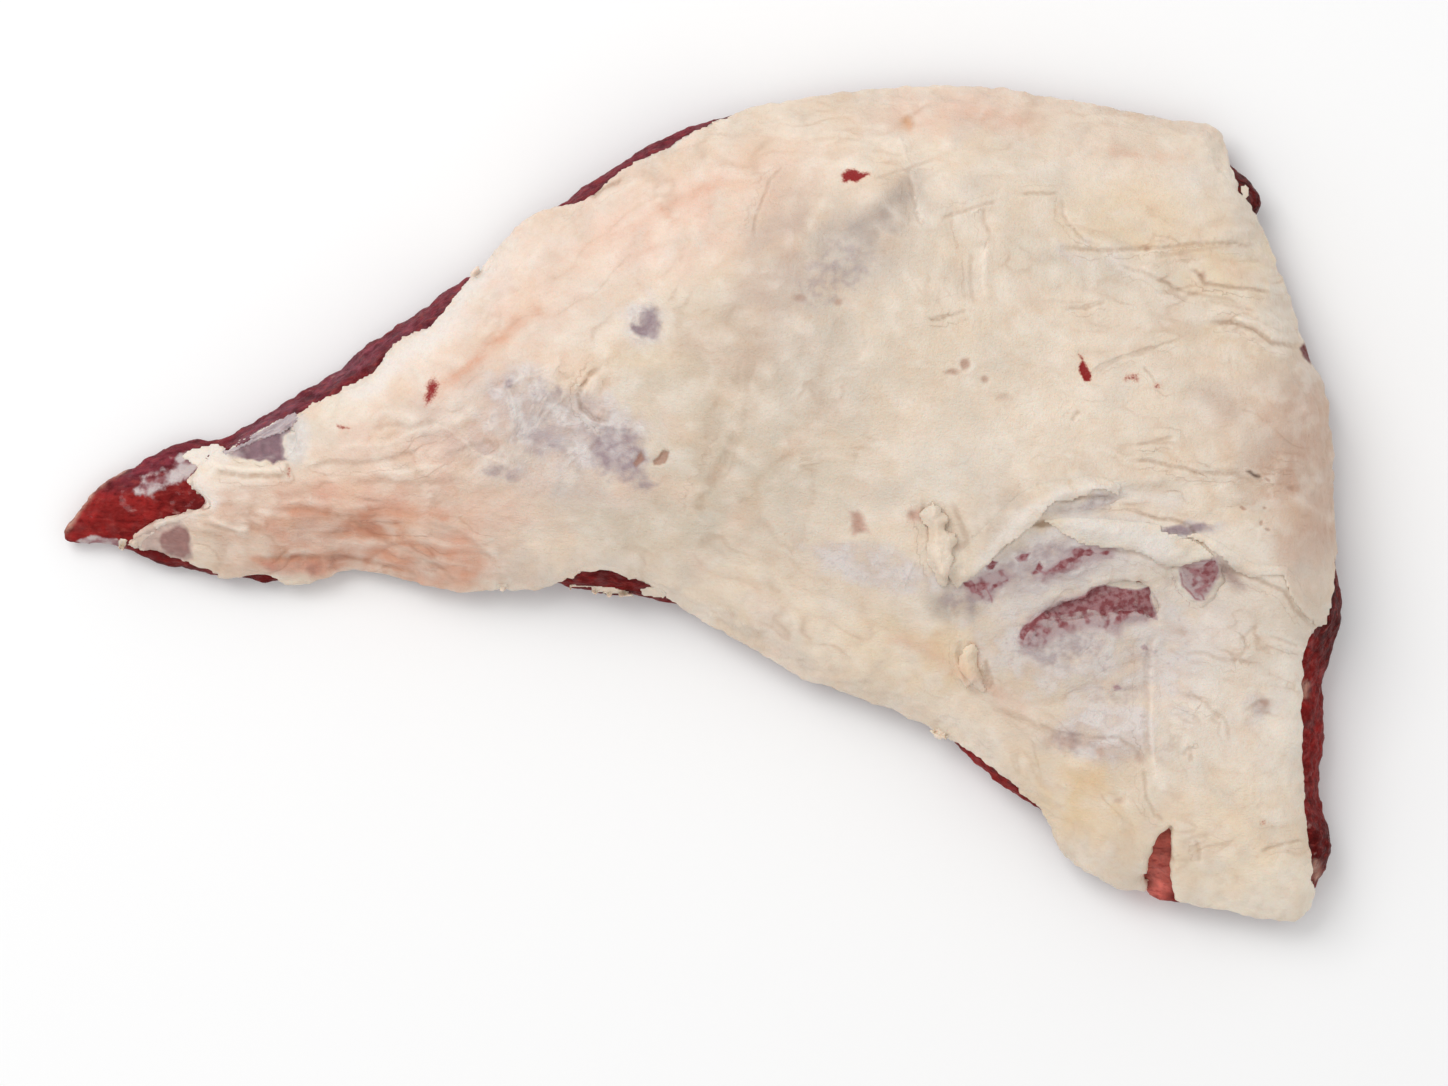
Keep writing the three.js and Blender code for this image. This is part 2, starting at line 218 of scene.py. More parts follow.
# %% Fields of blotches
def ellipse_distance(plan, mark):
    """0 in the middle of an ellipse, 1 on its rim."""
    _, x, y, rx, ry, turn, _ = mark
    away = plan - (x, y)
    c, s = math.cos(math.radians(turn)), math.sin(math.radians(turn))
    return np.hypot((away[:, 0] * c + away[:, 1] * s) / rx, (away[:, 1] * c - away[:, 0] * s) / ry)


def blotch_field(plan, marks, soft):
    """The strongest of the blotches at each point, fading over their rims."""
    field = np.zeros(len(plan))
    for mark in marks:
        field = np.maximum(field, mark[-1] * ramp(ellipse_distance(plan, mark), 1 + soft, 1 - soft))
    return field


print("past the rim:", ellipse_distance(np.array([(3, 0)]), ("", 0, 0, 2, 1, 0, 1)))

# %% Fields of patches
def numbers_near(plan, path, margin):
    """Which of the places lie within this margin of a path's box, by number."""
    low, high = np.min(path, axis=0) - margin, np.max(path, axis=0) + margin
    return np.flatnonzero(np.all((plan > low) & (plan < high), axis=1))


def nearest_on_path(plan, path):
    """The signed distance to an open path, left of it above 0, and how far along it, from 0 to 1."""
    corners = np.array(path, float)
    lengths = np.hypot(*np.diff(corners, axis=0).T)
    best = np.full(len(plan), np.inf)
    side = np.zeros(len(plan))
    along = np.zeros(len(plan))
    for i, length in enumerate(lengths):
        heading = (corners[i + 1] - corners[i]) / length
        away = plan - corners[i]
        reached = np.clip(away @ heading, 0, length)
        gap = away - reached[:, None] * heading
        distance = np.hypot(*gap.T)
        left = heading[0] * away[:, 1] - heading[1] * away[:, 0] >= 0
        nearer = distance < best
        best = np.where(nearer, distance, best)
        side = np.where(nearer, np.where(left, distance, -distance), side)
        along = np.where(nearer, (lengths[:i].sum() + reached) / lengths.sum(), along)
    return side, along


def depth_inside(plan, outline):
    """How deep inside a closed outline each point lies; below 0 outside."""
    side, _ = nearest_on_path(plan, outline + outline[:1])
    inside = np.zeros(len(plan), bool)
    for (ax, ay), (bx, by) in zip(outline, outline[1:] + outline[:1]):
        if ay != by:
            crosses = (ay > plan[:, 1]) != (by > plan[:, 1])
            inside ^= crosses & (plan[:, 0] < ax + (plan[:, 1] - ay) / (by - ay) * (bx - ax))
    return np.where(inside, np.abs(side), -np.abs(side))


def patch_field(plan, patches):
    """0.5 on the edges of closed patches and more inside, over each patch's own soft edge."""
    field = np.zeros(len(plan))
    for _, soft, strength, outline in patches:
        near = numbers_near(plan, outline, 2 * soft)
        share = strength * np.clip(0.5 + depth_inside(plan[near], outline) / (2 * soft), 0, 1)
        field[near] = np.maximum(field[near], share)
    return field


print("deep inside:", depth_inside(np.array([(2, 2)]), [(0, 0), (9, 0), (0, 9)]), "mm")

# %% Fields of strokes
STROKE_REACH = 6
STROKE_END = 0.15


def stroke_fields(plan, strokes):
    """How far each point is across the nearest stroke, in half-widths, and the stroke's strength there."""
    across = np.full(len(plan), float(STROKE_REACH))
    strength = np.zeros(len(plan))
    for _, width, force, path in strokes:
        near = numbers_near(plan, path, 4 * STROKE_REACH * width)
        if not len(near):
            continue
        side, along = nearest_on_path(plan[near], path)
        side = np.clip(side / width, -STROKE_REACH, STROKE_REACH)
        taper = force * ramp(along, 0, STROKE_END) * ramp(along, 1, 1 - STROKE_END)
        closer = (np.abs(side) < np.abs(across[near])) & (np.abs(side) < STROKE_REACH)
        across[near[closer]] = side[closer]
        strength[near[closer]] = taper[closer]
    return across, strength


def ridge_field(plan, strokes):
    """1 along the middle of a full stroke, fading to 0 over its width."""
    across, strength = stroke_fields(plan, strokes)
    return strength * np.exp(-(across ** 2))


print("middle of a stroke:", ridge_field(np.array([(5, 0)]), [("", 1, 0.8, [(0, 0), (10, 0)])]))

# %% [markdown]
# Marks on the fat
#
# Named places, in millimetres. A blotch is name, x, y, half-length, half-width, turn in degrees and strength,
# and a wash has its colour too. A stroke is name, half-width, strength and path.

# %% Broad colours of the fat
BLUSH = [
    ("tail flank", -89.5, -4.5, 31.25, 9, -4, 0.75),
    ("salmon under the tail", -72, -9.8, 21.25, 8.5, -12, 0.55),
    ("lower edge of the tail", -100.8, -14.5, 18.75, 3.25, 2, 0.6),
    ("root of the tail", -65.8, 12.2, 23.75, 8.5, 18, 0.4),
    ("long pink field", -39.5, 53.5, 41.25, 13.75, 40, 0.5),
    ("shoulder field", -3.2, 72.2, 30, 12, 24, 0.5),
    ("crown", 61.8, 98, 22.5, 5.5, 0, 0.4),
    ("crown end", 98, 89, 17.5, 5.5, -10, 0.12),
    ("fold by the cut end", 133, 59, 12.5, 3.5, -8, 0.35),
    ("by the red fleck", -67.8, 28, 8.5, 6.5, 60, 0.35),
]
OLIVE = [
    ("middle of the cap", 15.5, 24.8, 28.75, 31.25, 30, 0.9),
    ("under the thin patch", -15.8, -2.8, 25, 8.5, -12, 0.6),
    ("second field", 59.2, 46, 23.75, 21.25, 0, 0.4),
    ("by the pit", 104.2, 60.5, 23.75, 6.5, -8, 0.45),
    ("low in the middle", 3, -4, 15, 6, 20, 0.6),
    ("ring of the mound", -15.8, 33, 15, 6.5, 0, 0.35),
]
CHALK = [
    ("heel", 132.2, -57.8, 19.5, 37.5, 0, 0.7),
    ("sheet over the hollow", 106.8, -8.5, 19.5, 5, -8, 0.7),
    ("band across the hollow", 88, -23.2, 23.75, 3.25, 14, 0.5),
    ("end of the cap", -119.5, 6.5, 8.5, 6.5, 0, 0.6),
    ("strip by the lean", -77, 32.2, 22.5, 2.25, 42, 0.3),
    ("lobe at the tail", -134.5, -4, 5, 2.25, 0, 0.6),
    ("sheet at the cut end", 140.5, -14, 15, 6.5, -12, 0.5),
    ("white patch", 61.8, 77.2, 12.5, 6, -10, 0.4),
    ("edge of the sheet", 53, 74.8, 1.5, 5.5, 8, 0.6),
    ("mound", -20.2, 29, 5.5, 4, 0, 0.6),
]
BUTTER = [
    ("under the short shred", 50.5, -37.8, 19.5, 9.5, -8, 0.8),
    ("heel side", 94.2, -74.5, 16.5, 11.5, -40, 0.8),
    ("above the pits", 111.8, 69.8, 27.5, 8, -6, 0.45),
    ("ring of the mound", -19.5, 34, 12.5, 4.5, 0, 0.5),
    ("heel corner", 131.2, -89.5, 17.5, 7, 8, 0.4),
    ("fold", 130.5, 39.8, 15, 3, -12, 0.3),
    ("low edge", 14.2, -24, 25, 6.5, -28, 0.35),
]
DUSKY = [
    ("by the cut end", 146.8, 16, 13, 18, -10, 0.8),
    ("second field", 132.2, 23, 12, 5, -12, 0.55),
    ("low end", 150.5, -6.5, 8, 11, 0, 0.6),
    # Painted shade along the top edge and the crown's edge, where the fat turns down out of the light.
    ("top edge", 109.2, 96.5, 20, 1.5, -11, 0.5),
    ("crown edge", 70.5, 102.5, 27.5, 1.75, 0, 0.3),
    ("edge by the shoulder", 154.2, 27.2, 3.5, 6.5, 0, 0.4),
]
print(sum(map(len, (BLUSH, OLIVE, CHALK, BUTTER, DUSKY))), "broad blotches")

# %% Washes
WASHES = [
    ("salmon low on the tail", -78, -11, 27, 7, -8, 0.95, (212, 146, 116)),
    # The low edge is salmon, and this wash is lighter still as painted light where the edge turns away.
    ("salmon at the low edge, with painted light", -68, -16, 15, 5, -10, 0.65, (222, 164, 134)),
    ("salmon along the tail", -64, 0, 24, 6, -6, 0.6, (216, 166, 144)),
    ("salmon end", -92, -5, 17, 6, -4, 0.95, (194, 136, 114)),
    ("pink of the tail's end", -113, 1, 10, 5, 0, 1, (202, 164, 144)),
    ("pink film at the tail's end", -135.5, -6, 7, 4, 15, 1, (176, 136, 124)),
    ("pale low edge", -36, -14, 16, 5, -6, 0.6, (246, 226, 206)),
    ("lighter by the middle", -75, -6, 6, 3, -4, 0.6, (232, 192, 168)),
    ("flap low on the tail", -103, -14.5, 9, 3, -4, 0.7, (184, 128, 104)),
    # Painted light on the top right edge, where the fat slopes down into shade.
    ("painted light by the top right edge", 146, 52, 7, 6, 0, 0.7, (240, 230, 216)),
    ("purple root", -60, 16, 13, 8, 0, 0.75, (200, 176, 168)),
    ("purple over the thin patch", -50, 27, 8, 7, 0, 0.7, (194, 178, 172)),
    ("pale low edge of the body", 32, -33, 34, 7, -27, 0.8, (242, 226, 206)),
    # Painted light on the bottom of the heel, where the fat curves down into shade.
    ("painted light on the bottom of the heel", 140, -96, 18, 7, 0, 0.9, (250, 238, 218)),
    ("butter by the pit", 134, 58, 12, 7, 0, 0.8, (232, 214, 184)),
    ("cool shoulder high", -14, 68, 14, 12, 30, 0.6, (238, 217, 204)),
    ("brown in the middle", 15, 40, 16, 12, 0, 1, (194, 174, 156)),
    ("slate in the streak", 38, 64.5, 8, 7, 30, 1, (158, 146, 140)),
    ("shade left of the lip", 74, -4, 8, 9, 30, 1, (202, 186, 170)),
    ("cool below the small tear", 128, -25, 12, 9, 0, 0.7, (206, 194, 184)),
    ("cool white of the field", 119, -36, 12, 10, 0, 0.8, (226, 218, 213)),
    ("pale island", 110, -14, 8, 5, 0, 0.8, (224, 214, 206)),
    ("pink at the root", -86, 15, 18, 7, 15, 0.6, (224, 194, 178)),
    ("brown beside the streak", 19, 58, 10, 22, -15, 1, (194, 170, 154)),
    ("grey beside the streak", 38, 62, 11, 20, -40, 0.8, (194, 180, 166)),
    ("dark middle of the streak", 46, 71, 4, 12, -31, 1, (168, 153, 142)),
    ("grey under the streak", 29, 36, 18, 14, 0, 0.7, (204, 192, 177)),
    ("slate under the folds of the tail", -36, 8, 18, 7, -8, 0.95, (198, 186, 181)),
    ("cool white over the shred", 64, 9, 13, 10, 20, 0.6, (224, 216, 205)),
    ("cool side of the middle", -30, 44, 14, 12, 0, 0.5, (226, 214, 202)),
    ("olive in the middle", 2, 22, 14, 20, 20, 0.85, (198, 181, 160)),
    ("olive lower down", -2, 1, 15, 12, 0, 0.7, (202, 190, 172)),
    ("cool shoulder", -51, 58, 24, 9, 42, 0.75, (236, 222, 211)),
    ("cool shoulder low", -72, 40, 12, 7, 40, 0.6, (234, 220, 209)),
    ("dusk at the right edge", 151, 6, 8, 24, 0, 0.95, (206, 172, 150)),
    ("dusk above the lip", 140, 20, 14, 9, -10, 0.4, (208, 178, 158)),
    ("butter of the heel", 132, -80, 20, 14, 0, 0.65, (231, 210, 180)),
    ("pale side of the heel", 146, -54, 4, 18, 0, 0.9, (243, 233, 219)),
    ("low in the hollow", 93, -60, 11, 4, -15, 0.6, (184, 160, 152)),
    # Painted shade under the tip of the lip and the end of the long shred.
    ("painted shade below the long shred", 64, -24, 6, 5, 0, 1, (150, 136, 128)),
    ("salmon left of the middle", -88, -9, 14, 5, -5, 1, (192, 134, 106)),
    ("shade low at the tail's end", -118, -9, 9, 5, 0, 0.8, (198, 172, 154)),
    ("grey by the orange fleck", -63, 26, 9, 6, 30, 0.7, (204, 182, 170)),
    ("warm right of the middle", 62, 38, 15, 11, 0, 0.5, (222, 203, 180)),
    ("grey right of the folds", 90, 62, 14, 8, -10, 0.4, (206, 196, 180)),
]
print(len(WASHES), "washes")

# %% Thin fat and film, where the meat shows through
SLATE = [
    ("thin patch", -32.8, 19.8, 23, 10.5, -12, 0.85),
    ("thin patch upper end", -47.8, 29, 10.5, 5.5, 12, 0.7),
    ("halo of the round pit", -14.5, 46.5, 6.75, 6.75, 0, 0.6),
    ("by the long shred", 43, -15.5, 23, 6, -14, 0.7),
    ("peeled hollow", 93, -37, 29, 14, -14, 0.68),
    ("peeled hollow upper end", 88, -14.8, 23, 8.5, 20, 0.9),
    ("smear between sheets", 121.8, -6, 8, 2, 4, 0.9),
    # Painted shadow under the edge of the lip, drawn in the colours of the film.
    ("painted shadow under the lip, in film colours", 98.8, 0.5, 7.5, 2, 12, 0.8),
    ("right of the hollow", 115.5, -37.8, 10, 18.75, 8, 0.6),
    ("low in the hollow", 102, -57, 14, 9, -10, 0.75),
    ("grey fleck low right", 139.8, -50.5, 8.5, 4.5, 30, 0.5),
    ("top right grey", 95.5, 61.5, 15, 5.5, -5, 0.4),
    ("corner grey", 125.5, 83.5, 11.25, 8.5, -20, 0.3),
]
PURPLE = [
    ("dark of the thin patch", -20.8, 12.2, 8.5, 6.5, -30, 0.75),
    ("dark beside it", -39.5, 16, 7.5, 5, 0, 0.45),
    ("spot in the thin patch", -48.2, 30.2, 1.75, 1.5, 0, 0.55),
    ("slip in the thin patch", -40.8, 29, 1.25, 3.5, -25, 0.55),
    ("spot beside the slip", -36.8, 28, 2, 2.5, 0, 0.5),
    ("pink end", -50, 7.8, 5.5, 2.25, 0, 0.5),
    ("below the dark", -15.8, 6, 6, 2.75, -35, 0.6),
    ("round pit", -13.4, 45.2, 3, 4, 0, 0.9),
    ("round pit left", -16.8, 43.5, 2, 2, 0, 0.5),
    ("streak dark", 33, 58, 12, 8, 40, 0.42),
    ("fleck in the streak", 28.8, 59, 1, 2.5, 0, 0.6),
    ("hollow haze", 89.2, -36, 13, 5.5, 0, 0.5),
    ("hollow right", 111.5, -37.5, 2.5, 3.5, 0, 0.35),
    ("film under the lip", 85, -14, 12, 5, 15, 0.5),
    # Painted shade under the tip of the lip.
    ("painted shade below the tip of the lip", 64, -24, 5, 4, 0, 0.5),
    ("low in the hollow", 103, -47.5, 9, 3, -10, 0.32),
    ("lower still", 92, -60, 7, 3, -15, 0.4),
    ("hollow low", 105.5, -46.5, 6, 2.25, -20, 0.4),
    ("smear", 121.2, -6.5, 6.5, 1.5, 4, 0.8),
]
print(len(SLATE) + len(PURPLE), "thin places")

# %% Small stains and specks
BLOOD_SPOTS = [
    ("dot right", 107, 31.8, 1.5, 1.1, 0, 0.8),
    ("dot further right", 113.5, 29.5, 1, 1, 0, 0.55),
    ("dot on the heel", 140, -79.5, 1, 0.75, 0, 0.5),
    ("short shred", 67.8, -37.8, 0.75, 2, -18, 0.35),
    ("dot low", 9.2, -10.2, 0.75, 1.25, -35, 0.4),
]
RUST = [
    ("spot by the long shred", 38.5, -4, 1.75, 2.75, 0, 0.5),
    ("spot above the shred", 52.2, -2.8, 1.5, 1.25, 0, 0.5),
    ("spot right of the shred", 63.8, -10.8, 1.25, 1.25, 0, 0.5),
    ("ring", 75, 26.8, 2.25, 1.25, 0, 0.45),
    ("streak dot", 24.2, 51.5, 1.75, 1, 0, 0.6),
    ("streak dot right", 33.8, 50.5, 1, 1, 0, 0.6),
    ("pit by the edge", 111, 63.8, 1, 0.75, 0, 0.6),
    ("pit", 125, 57.2, 1, 1, 0, 0.6),
    ("middle dots", 65.5, 35, 1.3, 1.6, 0, 0.85),
    ("middle dots low", 62.2, 33, 1.9, 0.9, 0, 0.7),
    ("middle dot right", 70.5, 31.2, 1.3, 1, 0, 0.7),
    ("dark pit third", 141.2, 6, 0.75, 0.5, -30, 0.7),
    ("dark pit low", 146.8, 4, 1, 0.75, 0, 0.6),
    ("dark pit lower", 135, -1, 1, 0.5, -15, 0.8),
    ("dark pit right", 140.5, -1, 0.5, 0.5, 0, 0.8),
    ("dark pit under", 139.5, -4.8, 0.5, 0.75, 0, 0.7),
    ("dark pit last", 141.2, -6.5, 0.75, 0.5, -30, 0.7),
    ("brown low in the hollow", 90.8, -59.5, 3, 1.75, -20, 0.5),
    ("brown beside", 99.2, -62, 2, 1.5, -30, 0.5),
    ("brown right", 109.2, -63.5, 1.5, 2, 30, 0.5),
    ("spot by the slit", 103.8, -74.2, 1.5, 1, 0, 0.5),
    ("heel dot two", 140.5, -49.5, 1.25, 1, 0, 0.6),
    ("dots at the tail's end", -123.2, -17.5, 2, 0.5, 0, 0.6),
    ("shoulder dot", -56.2, 59, 1.25, 0.75, 40, 0.7),
]
print(len(BLOOD_SPOTS) + len(RUST), "specks")

# %% Creases of the tail, the shoulder and the cut end
CREASES = [
    ("cut in the shoulder fat", 0.38, 0.9, [(-28.2, 76.2), (-24.5, 79), (-19.5, 81.8)]),
    ("fold at the tail", 0.4, 0.7, [(-122.8, 8.5), (-114.5, 7), (-103.2, 6.8)]),
    ("short fold across it", 0.3, 0.5, [(-103.8, 10.5), (-104.2, 8), (-103.2, 6)]),
    ("fold low on the tail", 0.35, 0.5, [(-125.8, -5.2), (-120.2, -6), (-115.8, -7.8)]),
    ("lower edge fold", 0.45, 0.6, [(-114.5, -14), (-100.8, -13.2), (-88.2, -13.5), (-70.8, -17)]),
    ("long diagonal fold", 0.4, 0.4, [(-90.8, -2), (-80.8, -8.5), (-65.8, -15.5), (-60.2, -21)]),
    ("ring of the mound", 0.4, 0.9, [
        (-24.8, 34.5), (-28.8, 32), (-31.2, 27.5), (-30.5, 24), (-27.8, 21.5), (-23.2, 20),
    ]),
    ("grey streak edge", 0.38, 0.5, [(50.5, 84.8), (52.2, 78.5), (52.8, 74), (54.5, 69)]),
    ("vein of the crown", 0.3, 0.5, [(20.5, 84.8), (16.8, 81), (13.5, 72.2), (12.2, 66)]),
    ("crown fold", 0.3, 0.4, [(41.8, 81), (58.8, 86.5)]),
    ("middle fold", 0.33, 0.6, [(89.2, 77.5), (83, 77.8), (78.8, 77.2)]),
    ("middle fold left", 0.35, 0.5, [(74.2, 76), (59.2, 71.5)]),
    ("middle fold down", 0.4, 0.5, [(70.5, 74.5), (70.2, 70.5), (71.8, 67)]),
    ("left ridge side", 0.4, 0.45, [(67.2, 63.5), (66.8, 57.2), (67.8, 49.8)]),
    ("short brown fold", 0.38, 0.8, [(56.2, 46.5), (59.2, 46.2), (62.2, 47.5)]),
    ("fold down from the middle", 0.35, 0.5, [(89.8, 77.2), (90.2, 72.2), (93.8, 67), (99.2, 64.5)]),
    ("long fold", 0.4, 0.7, [
        (88, 64.2), (99.2, 63.5), (118, 64.2), (123, 65.2), (131.8, 65.2), (139.8, 64.2),
    ]),
    ("second long fold", 0.35, 0.5, [(101.8, 60.5), (111.8, 57.2), (120.5, 53), (131.8, 51), (136.8, 48)]),
    ("fold to the pit", 0.35, 0.8, [(120.5, 59), (123.8, 58), (125.8, 55), (143, 52.8)]),
    ("line to the fleck", 0.28, 0.5, [(96.2, 31), (99.2, 34.5), (105.5, 37.2), (120.5, 41.5)]),
    ("dark fold", 0.42, 0.75, [(125.5, 45.5), (133, 45.5), (138.8, 43), (142.2, 40.5), (149.2, 39)]),
    ("fold by the dots", 0.25, 0.5, [(110, 34.8), (113.2, 29.8)]),
    ("short slip", 0.35, 0.6, [(94.2, 23.5), (92, 20.5)]),
    ("small fold", 0.3, 0.6, [(91.2, 49), (95.5, 49), (101.2, 50.8)]),
]
print(len(CREASES), "creases")

# %% Creases of the lips, the hollow and the heel
CREASES += [
    ("upper lip fold", 0.33, 0.5, [(108, 14.8), (118, 16.8)]),
    ("middle lip fold", 0.38, 0.7, [(105.5, 11), (111.2, 11), (124.2, 7.8), (133, 7.5), (137.2, 6)]),
    ("lip shadow", 0.5, 0.7, [(87.2, 0.5), (95, 2), (103.8, 1)]),
    ("sheet fold", 0.38, 0.8, [
        (107.2, -1.5), (114.2, -3.8), (118, -4), (121.8, -5.8), (124.2, -9), (128, -13),
    ]),
    ("third sheet edge", 0.38, 0.6, [
        (96.8, -10.8), (106.8, -12), (111.8, -13.5), (116.2, -16), (119.2, -16), (125.5, -14.8),
    ]),
    ("edge over the heel", 0.4, 0.7, [
        (129.8, -14), (133, -17.2), (138, -18.5), (145.5, -22), (148.2, -26.5), (152.8, -31),
    ]),
    ("heel fold right", 0.3, 0.5, [(141.2, -33.2), (145.5, -34.2), (149.2, -36)]),
    ("net of the heel", 0.4, 0.45, [
        (119.2, -37.8), (124.2, -37), (129.8, -39), (134.2, -39.5), (139.2, -37.8),
    ]),
    ("net, link", 0.35, 0.45, [(134.2, -34), (138.8, -30.2)]),
    ("net, lower line", 0.4, 0.45, [(116.8, -46.5), (124.2, -49), (130.5, -54), (131.8, -60.2)]),
    ("net, lower link", 0.35, 0.45, [(134.2, -52), (138.2, -50.2), (139.8, -49)]),
    ("heel line", 0.3, 0.6, [(138.8, -87), (145.5, -85), (150.8, -84)]),
    ("heel line left", 0.38, 0.5, [(123, -83.5), (124.2, -86.5), (124, -89.8)]),
    ("line to the slit", 0.35, 0.5, [(110.2, -65.2), (110.8, -72.8), (113, -77.8), (116.2, -80)]),
    ("lower hollow edge", 0.35, 0.5, [
        (70.5, -50.2), (86.8, -56.5), (96.8, -58.5), (104.2, -58.5), (108, -61), (110.5, -65.2),
    ]),
    ("edge of the shred side", 0.38, 0.6, [(69.2, -41), (70.2, -44), (72.2, -46.5)]),
    ("grey fold in the middle", 0.88, 0.5, [(8.8, 18), (-0.2, 1.5), (-1.8, -4)]),
    ("left of the long shred", 0.5, 0.8, [
        (55.2, 1.5), (55, -2.8), (56.8, -6.5), (56.2, -10.5), (58.8, -19),
    ]),
    ("right of the long shred", 0.5, 0.6, [(62.2, 1), (65.5, -7.8), (66.2, -13), (64.8, -18.5)]),
    ("left of the short shred", 0.4, 0.5, [(64.5, -34), (63.8, -38), (65, -42.5), (67.2, -47)]),
    ("right of the short shred", 0.5, 0.8, [(70.5, -38.5), (71.2, -42.5), (72.5, -46.5)]),
    ("heel hook", 0.4, 0.6, [(119.5, -63), (121.8, -61), (122, -65)]),
    ("border of the heel", 0.6, 0.5, [
        (113.8, -30), (111.2, -37), (110.8, -46.5), (110.8, -57.8), (111.8, -66.5),
    ]),
    ("hollow's lower line", 0.5, 0.4, [
        (70.5, -50.5), (79.2, -53), (87.2, -57.5), (94.8, -59.5), (100.8, -62),
    ]),
    ("brown fold of the middle", 0.35, 0.5, [(57.2, 46.5), (60.8, 47), (66.2, 48.5)]),
    ("thin line to the right", 0.3, 0.4, [(90, 48.8), (95.5, 49.5), (101.2, 51)]),
    ("line over the shred", 0.3, 0.4, [(98, 32.2), (102.2, 35.5), (106.8, 37), (111.8, 38)]),
    ("upper wrinkle by the pit", 0.35, 0.4, [(111.8, 61.5), (126.8, 64.2), (134.2, 65)]),
    ("lower wrinkle by the pit", 0.35, 0.4, [(125.5, 51), (138.8, 48)]),
]
print(len(CREASES), "creases")

# %% Wrinkles of the tail that are drawn one by one
CREASES += [
    ("tail wrinkle a", 0.5, 0.5, [(-100.8, 8.5), (-93.2, 10.5), (-85.8, 10), (-77, 11.5), (-69.5, 14.5)]),
    ("tail wrinkle b", 0.5, 0.45, [(-83.8, 18.5), (-77.8, 20), (-72.8, 19), (-65.8, 21)]),
    ("tail wrinkle c", 0.5, 0.4, [(-110.2, -2), (-100.8, -1), (-89.5, -3.2), (-79.5, -2)]),
    ("tail wrinkle d", 0.5, 0.4, [(-89.5, 4.5), (-80.2, 6), (-70.8, 5), (-58.2, 6.5)]),
    ("tail wrinkle e", 0.5, 0.4, [(-70.8, -4), (-62, -6.5), (-55.8, -11), (-50.8, -15.5)]),
    ("tail wrinkle f", 0.45, 0.4, [(-65.8, 12.2), (-58.2, 14), (-52.8, 16)]),
]
print(len(CREASES), "creases")

# %% Strands that stand up
STRANDS = [
    ("first strand", 0.4, 1, [(-49.5, 27), (-47.8, 23), (-47.2, 18)]),
    ("second strand", 0.4, 0.8, [(-36.8, 34.5), (-40.8, 32.5), (-46.2, 31), (-50.8, 29)]),
    ("third strand", 0.35, 0.8, [(-38.8, 27.2), (-40.8, 23.5), (-42, 20.5)]),
    ("fourth strand", 0.3, 0.6, [(-52.5, 23.5), (-53.8, 20.5), (-52.2, 18)]),
    ("long strand", 0.38, 0.4, [(-45.8, 9), (-55.8, 12.2), (-63.2, 18.5), (-68.2, 19.8)]),
    ("edge of the grey streak", 0.62, 1, [(52.8, 78), (53.2, 74), (54.8, 69.5)]),
    ("slip by the long shred", 0.35, 0.8, [(53, -14), (51.2, -17.8), (50, -21.5)]),
    ("ridge", 1.2, 0.8, [(70.5, 64.8), (70.2, 58.5), (70.8, 51)]),
    ("crown slip", 0.5, 0.5, [(48.8, 92), (51.2, 85.5)]),
    ("rim of the round pit", 0.55, 0.6, [(-16.8, 48.5), (-18.2, 45.5), (-17.2, 42), (-14.2, 40.5)]),
    ("mound inside the ring", 1, 0.6, [(-25.8, 33), (-27.8, 28.5), (-26.2, 24.5), (-20.8, 23)]),
    ("upper flap of the tail", 0.9, 0.9, [
        (-124.2, 10.5), (-120.2, 9.2), (-114.5, 8.5), (-108.2, 8.5), (-102.8, 9.5),
    ]),
    ("ridge low on the tail", 0.8, 0.7, [(-124.5, -2.5), (-120.8, -5), (-116.2, -6.5), (-112.8, -6)]),
    ("tail ridge under the red slip", 0.9, 0.5, [
        (-93.2, 13), (-87.8, 14.8), (-81.2, 14.5), (-75.8, 16), (-70.8, 19),
    ]),
    ("tail ridge in the middle", 0.8, 0.5, [
        (-87.8, 6.5), (-80.8, 8.5), (-75.2, 7.5), (-68.2, 9.5), (-62, 8.5),
    ]),
    ("tail ridge by the root", 0.8, 0.5, [(-83.8, 21), (-79.5, 23.2), (-75.2, 22.5), (-71.2, 21)]),
    ("long tail ridge", 1.0, 0.4, [(-110.2, -0.2), (-100.8, 1), (-89.5, -1), (-80.8, 0.5)]),
    ("lower tail ridge", 1.0, 0.4, [
        (-95.8, -11), (-87.8, -9), (-77.8, -10.5), (-68.2, -14), (-58.2, -15.5),
    ]),
    ("first rung", 0.45, 0.9, [(-49.5, 30.2), (-48, 27.2), (-47, 23.5), (-46.8, 20), (-47.8, 16.8)]),
    ("second rung", 0.35, 0.7, [(-43.2, 30), (-42, 27.2), (-42.5, 24), (-44, 21)]),
    ("third rung", 0.35, 0.6, [(-34.2, 28), (-35.8, 25.5), (-38.5, 23.5), (-40.5, 21), (-42, 18)]),
    ("pale ridge over the thin patch", 0.5, 0.8, [(-47.8, 30.5), (-40.5, 33.8), (-36.8, 35)]),
    ("ridge right of the thin patch", 0.6, 0.8, [(-34.2, 25), (-27.8, 20.8), (-22.8, 19.2), (-17.2, 19)]),
    ("inner ring of the mound", 0.7, 0.5, [
        (-25.8, 33), (-28.2, 30), (-28.2, 26), (-25.8, 23), (-21.2, 21.5),
    ]),
    ("edge of the heel", 1.3, 0.8, [
        (114.2, -29.5), (112.5, -36.5), (112, -46.5), (112, -57.8), (113.5, -67.8), (116.8, -74),
    ]),
    ("edge of the chalky field", 1.5, 0.3, [(50.5, 83.5), (52.5, 80.5), (54, 70.5), (55, 67)]),
    ("shoulder ridge", 0.9, 0.5, [(-26.5, 75), (-23.2, 77.5), (-19.2, 79.2), (-14.5, 82)]),
    ("fold over the dark one", 1.0, 0.7, [(128.8, 43.5), (135.5, 42), (141.2, 38.5), (148.2, 36.5)]),
    ("fold under the dark one", 0.8, 0.6, [(132.2, 46.5), (138.8, 45.5), (143.2, 42), (146.8, 40.5)]),
]
print(len(STRANDS), "strands")
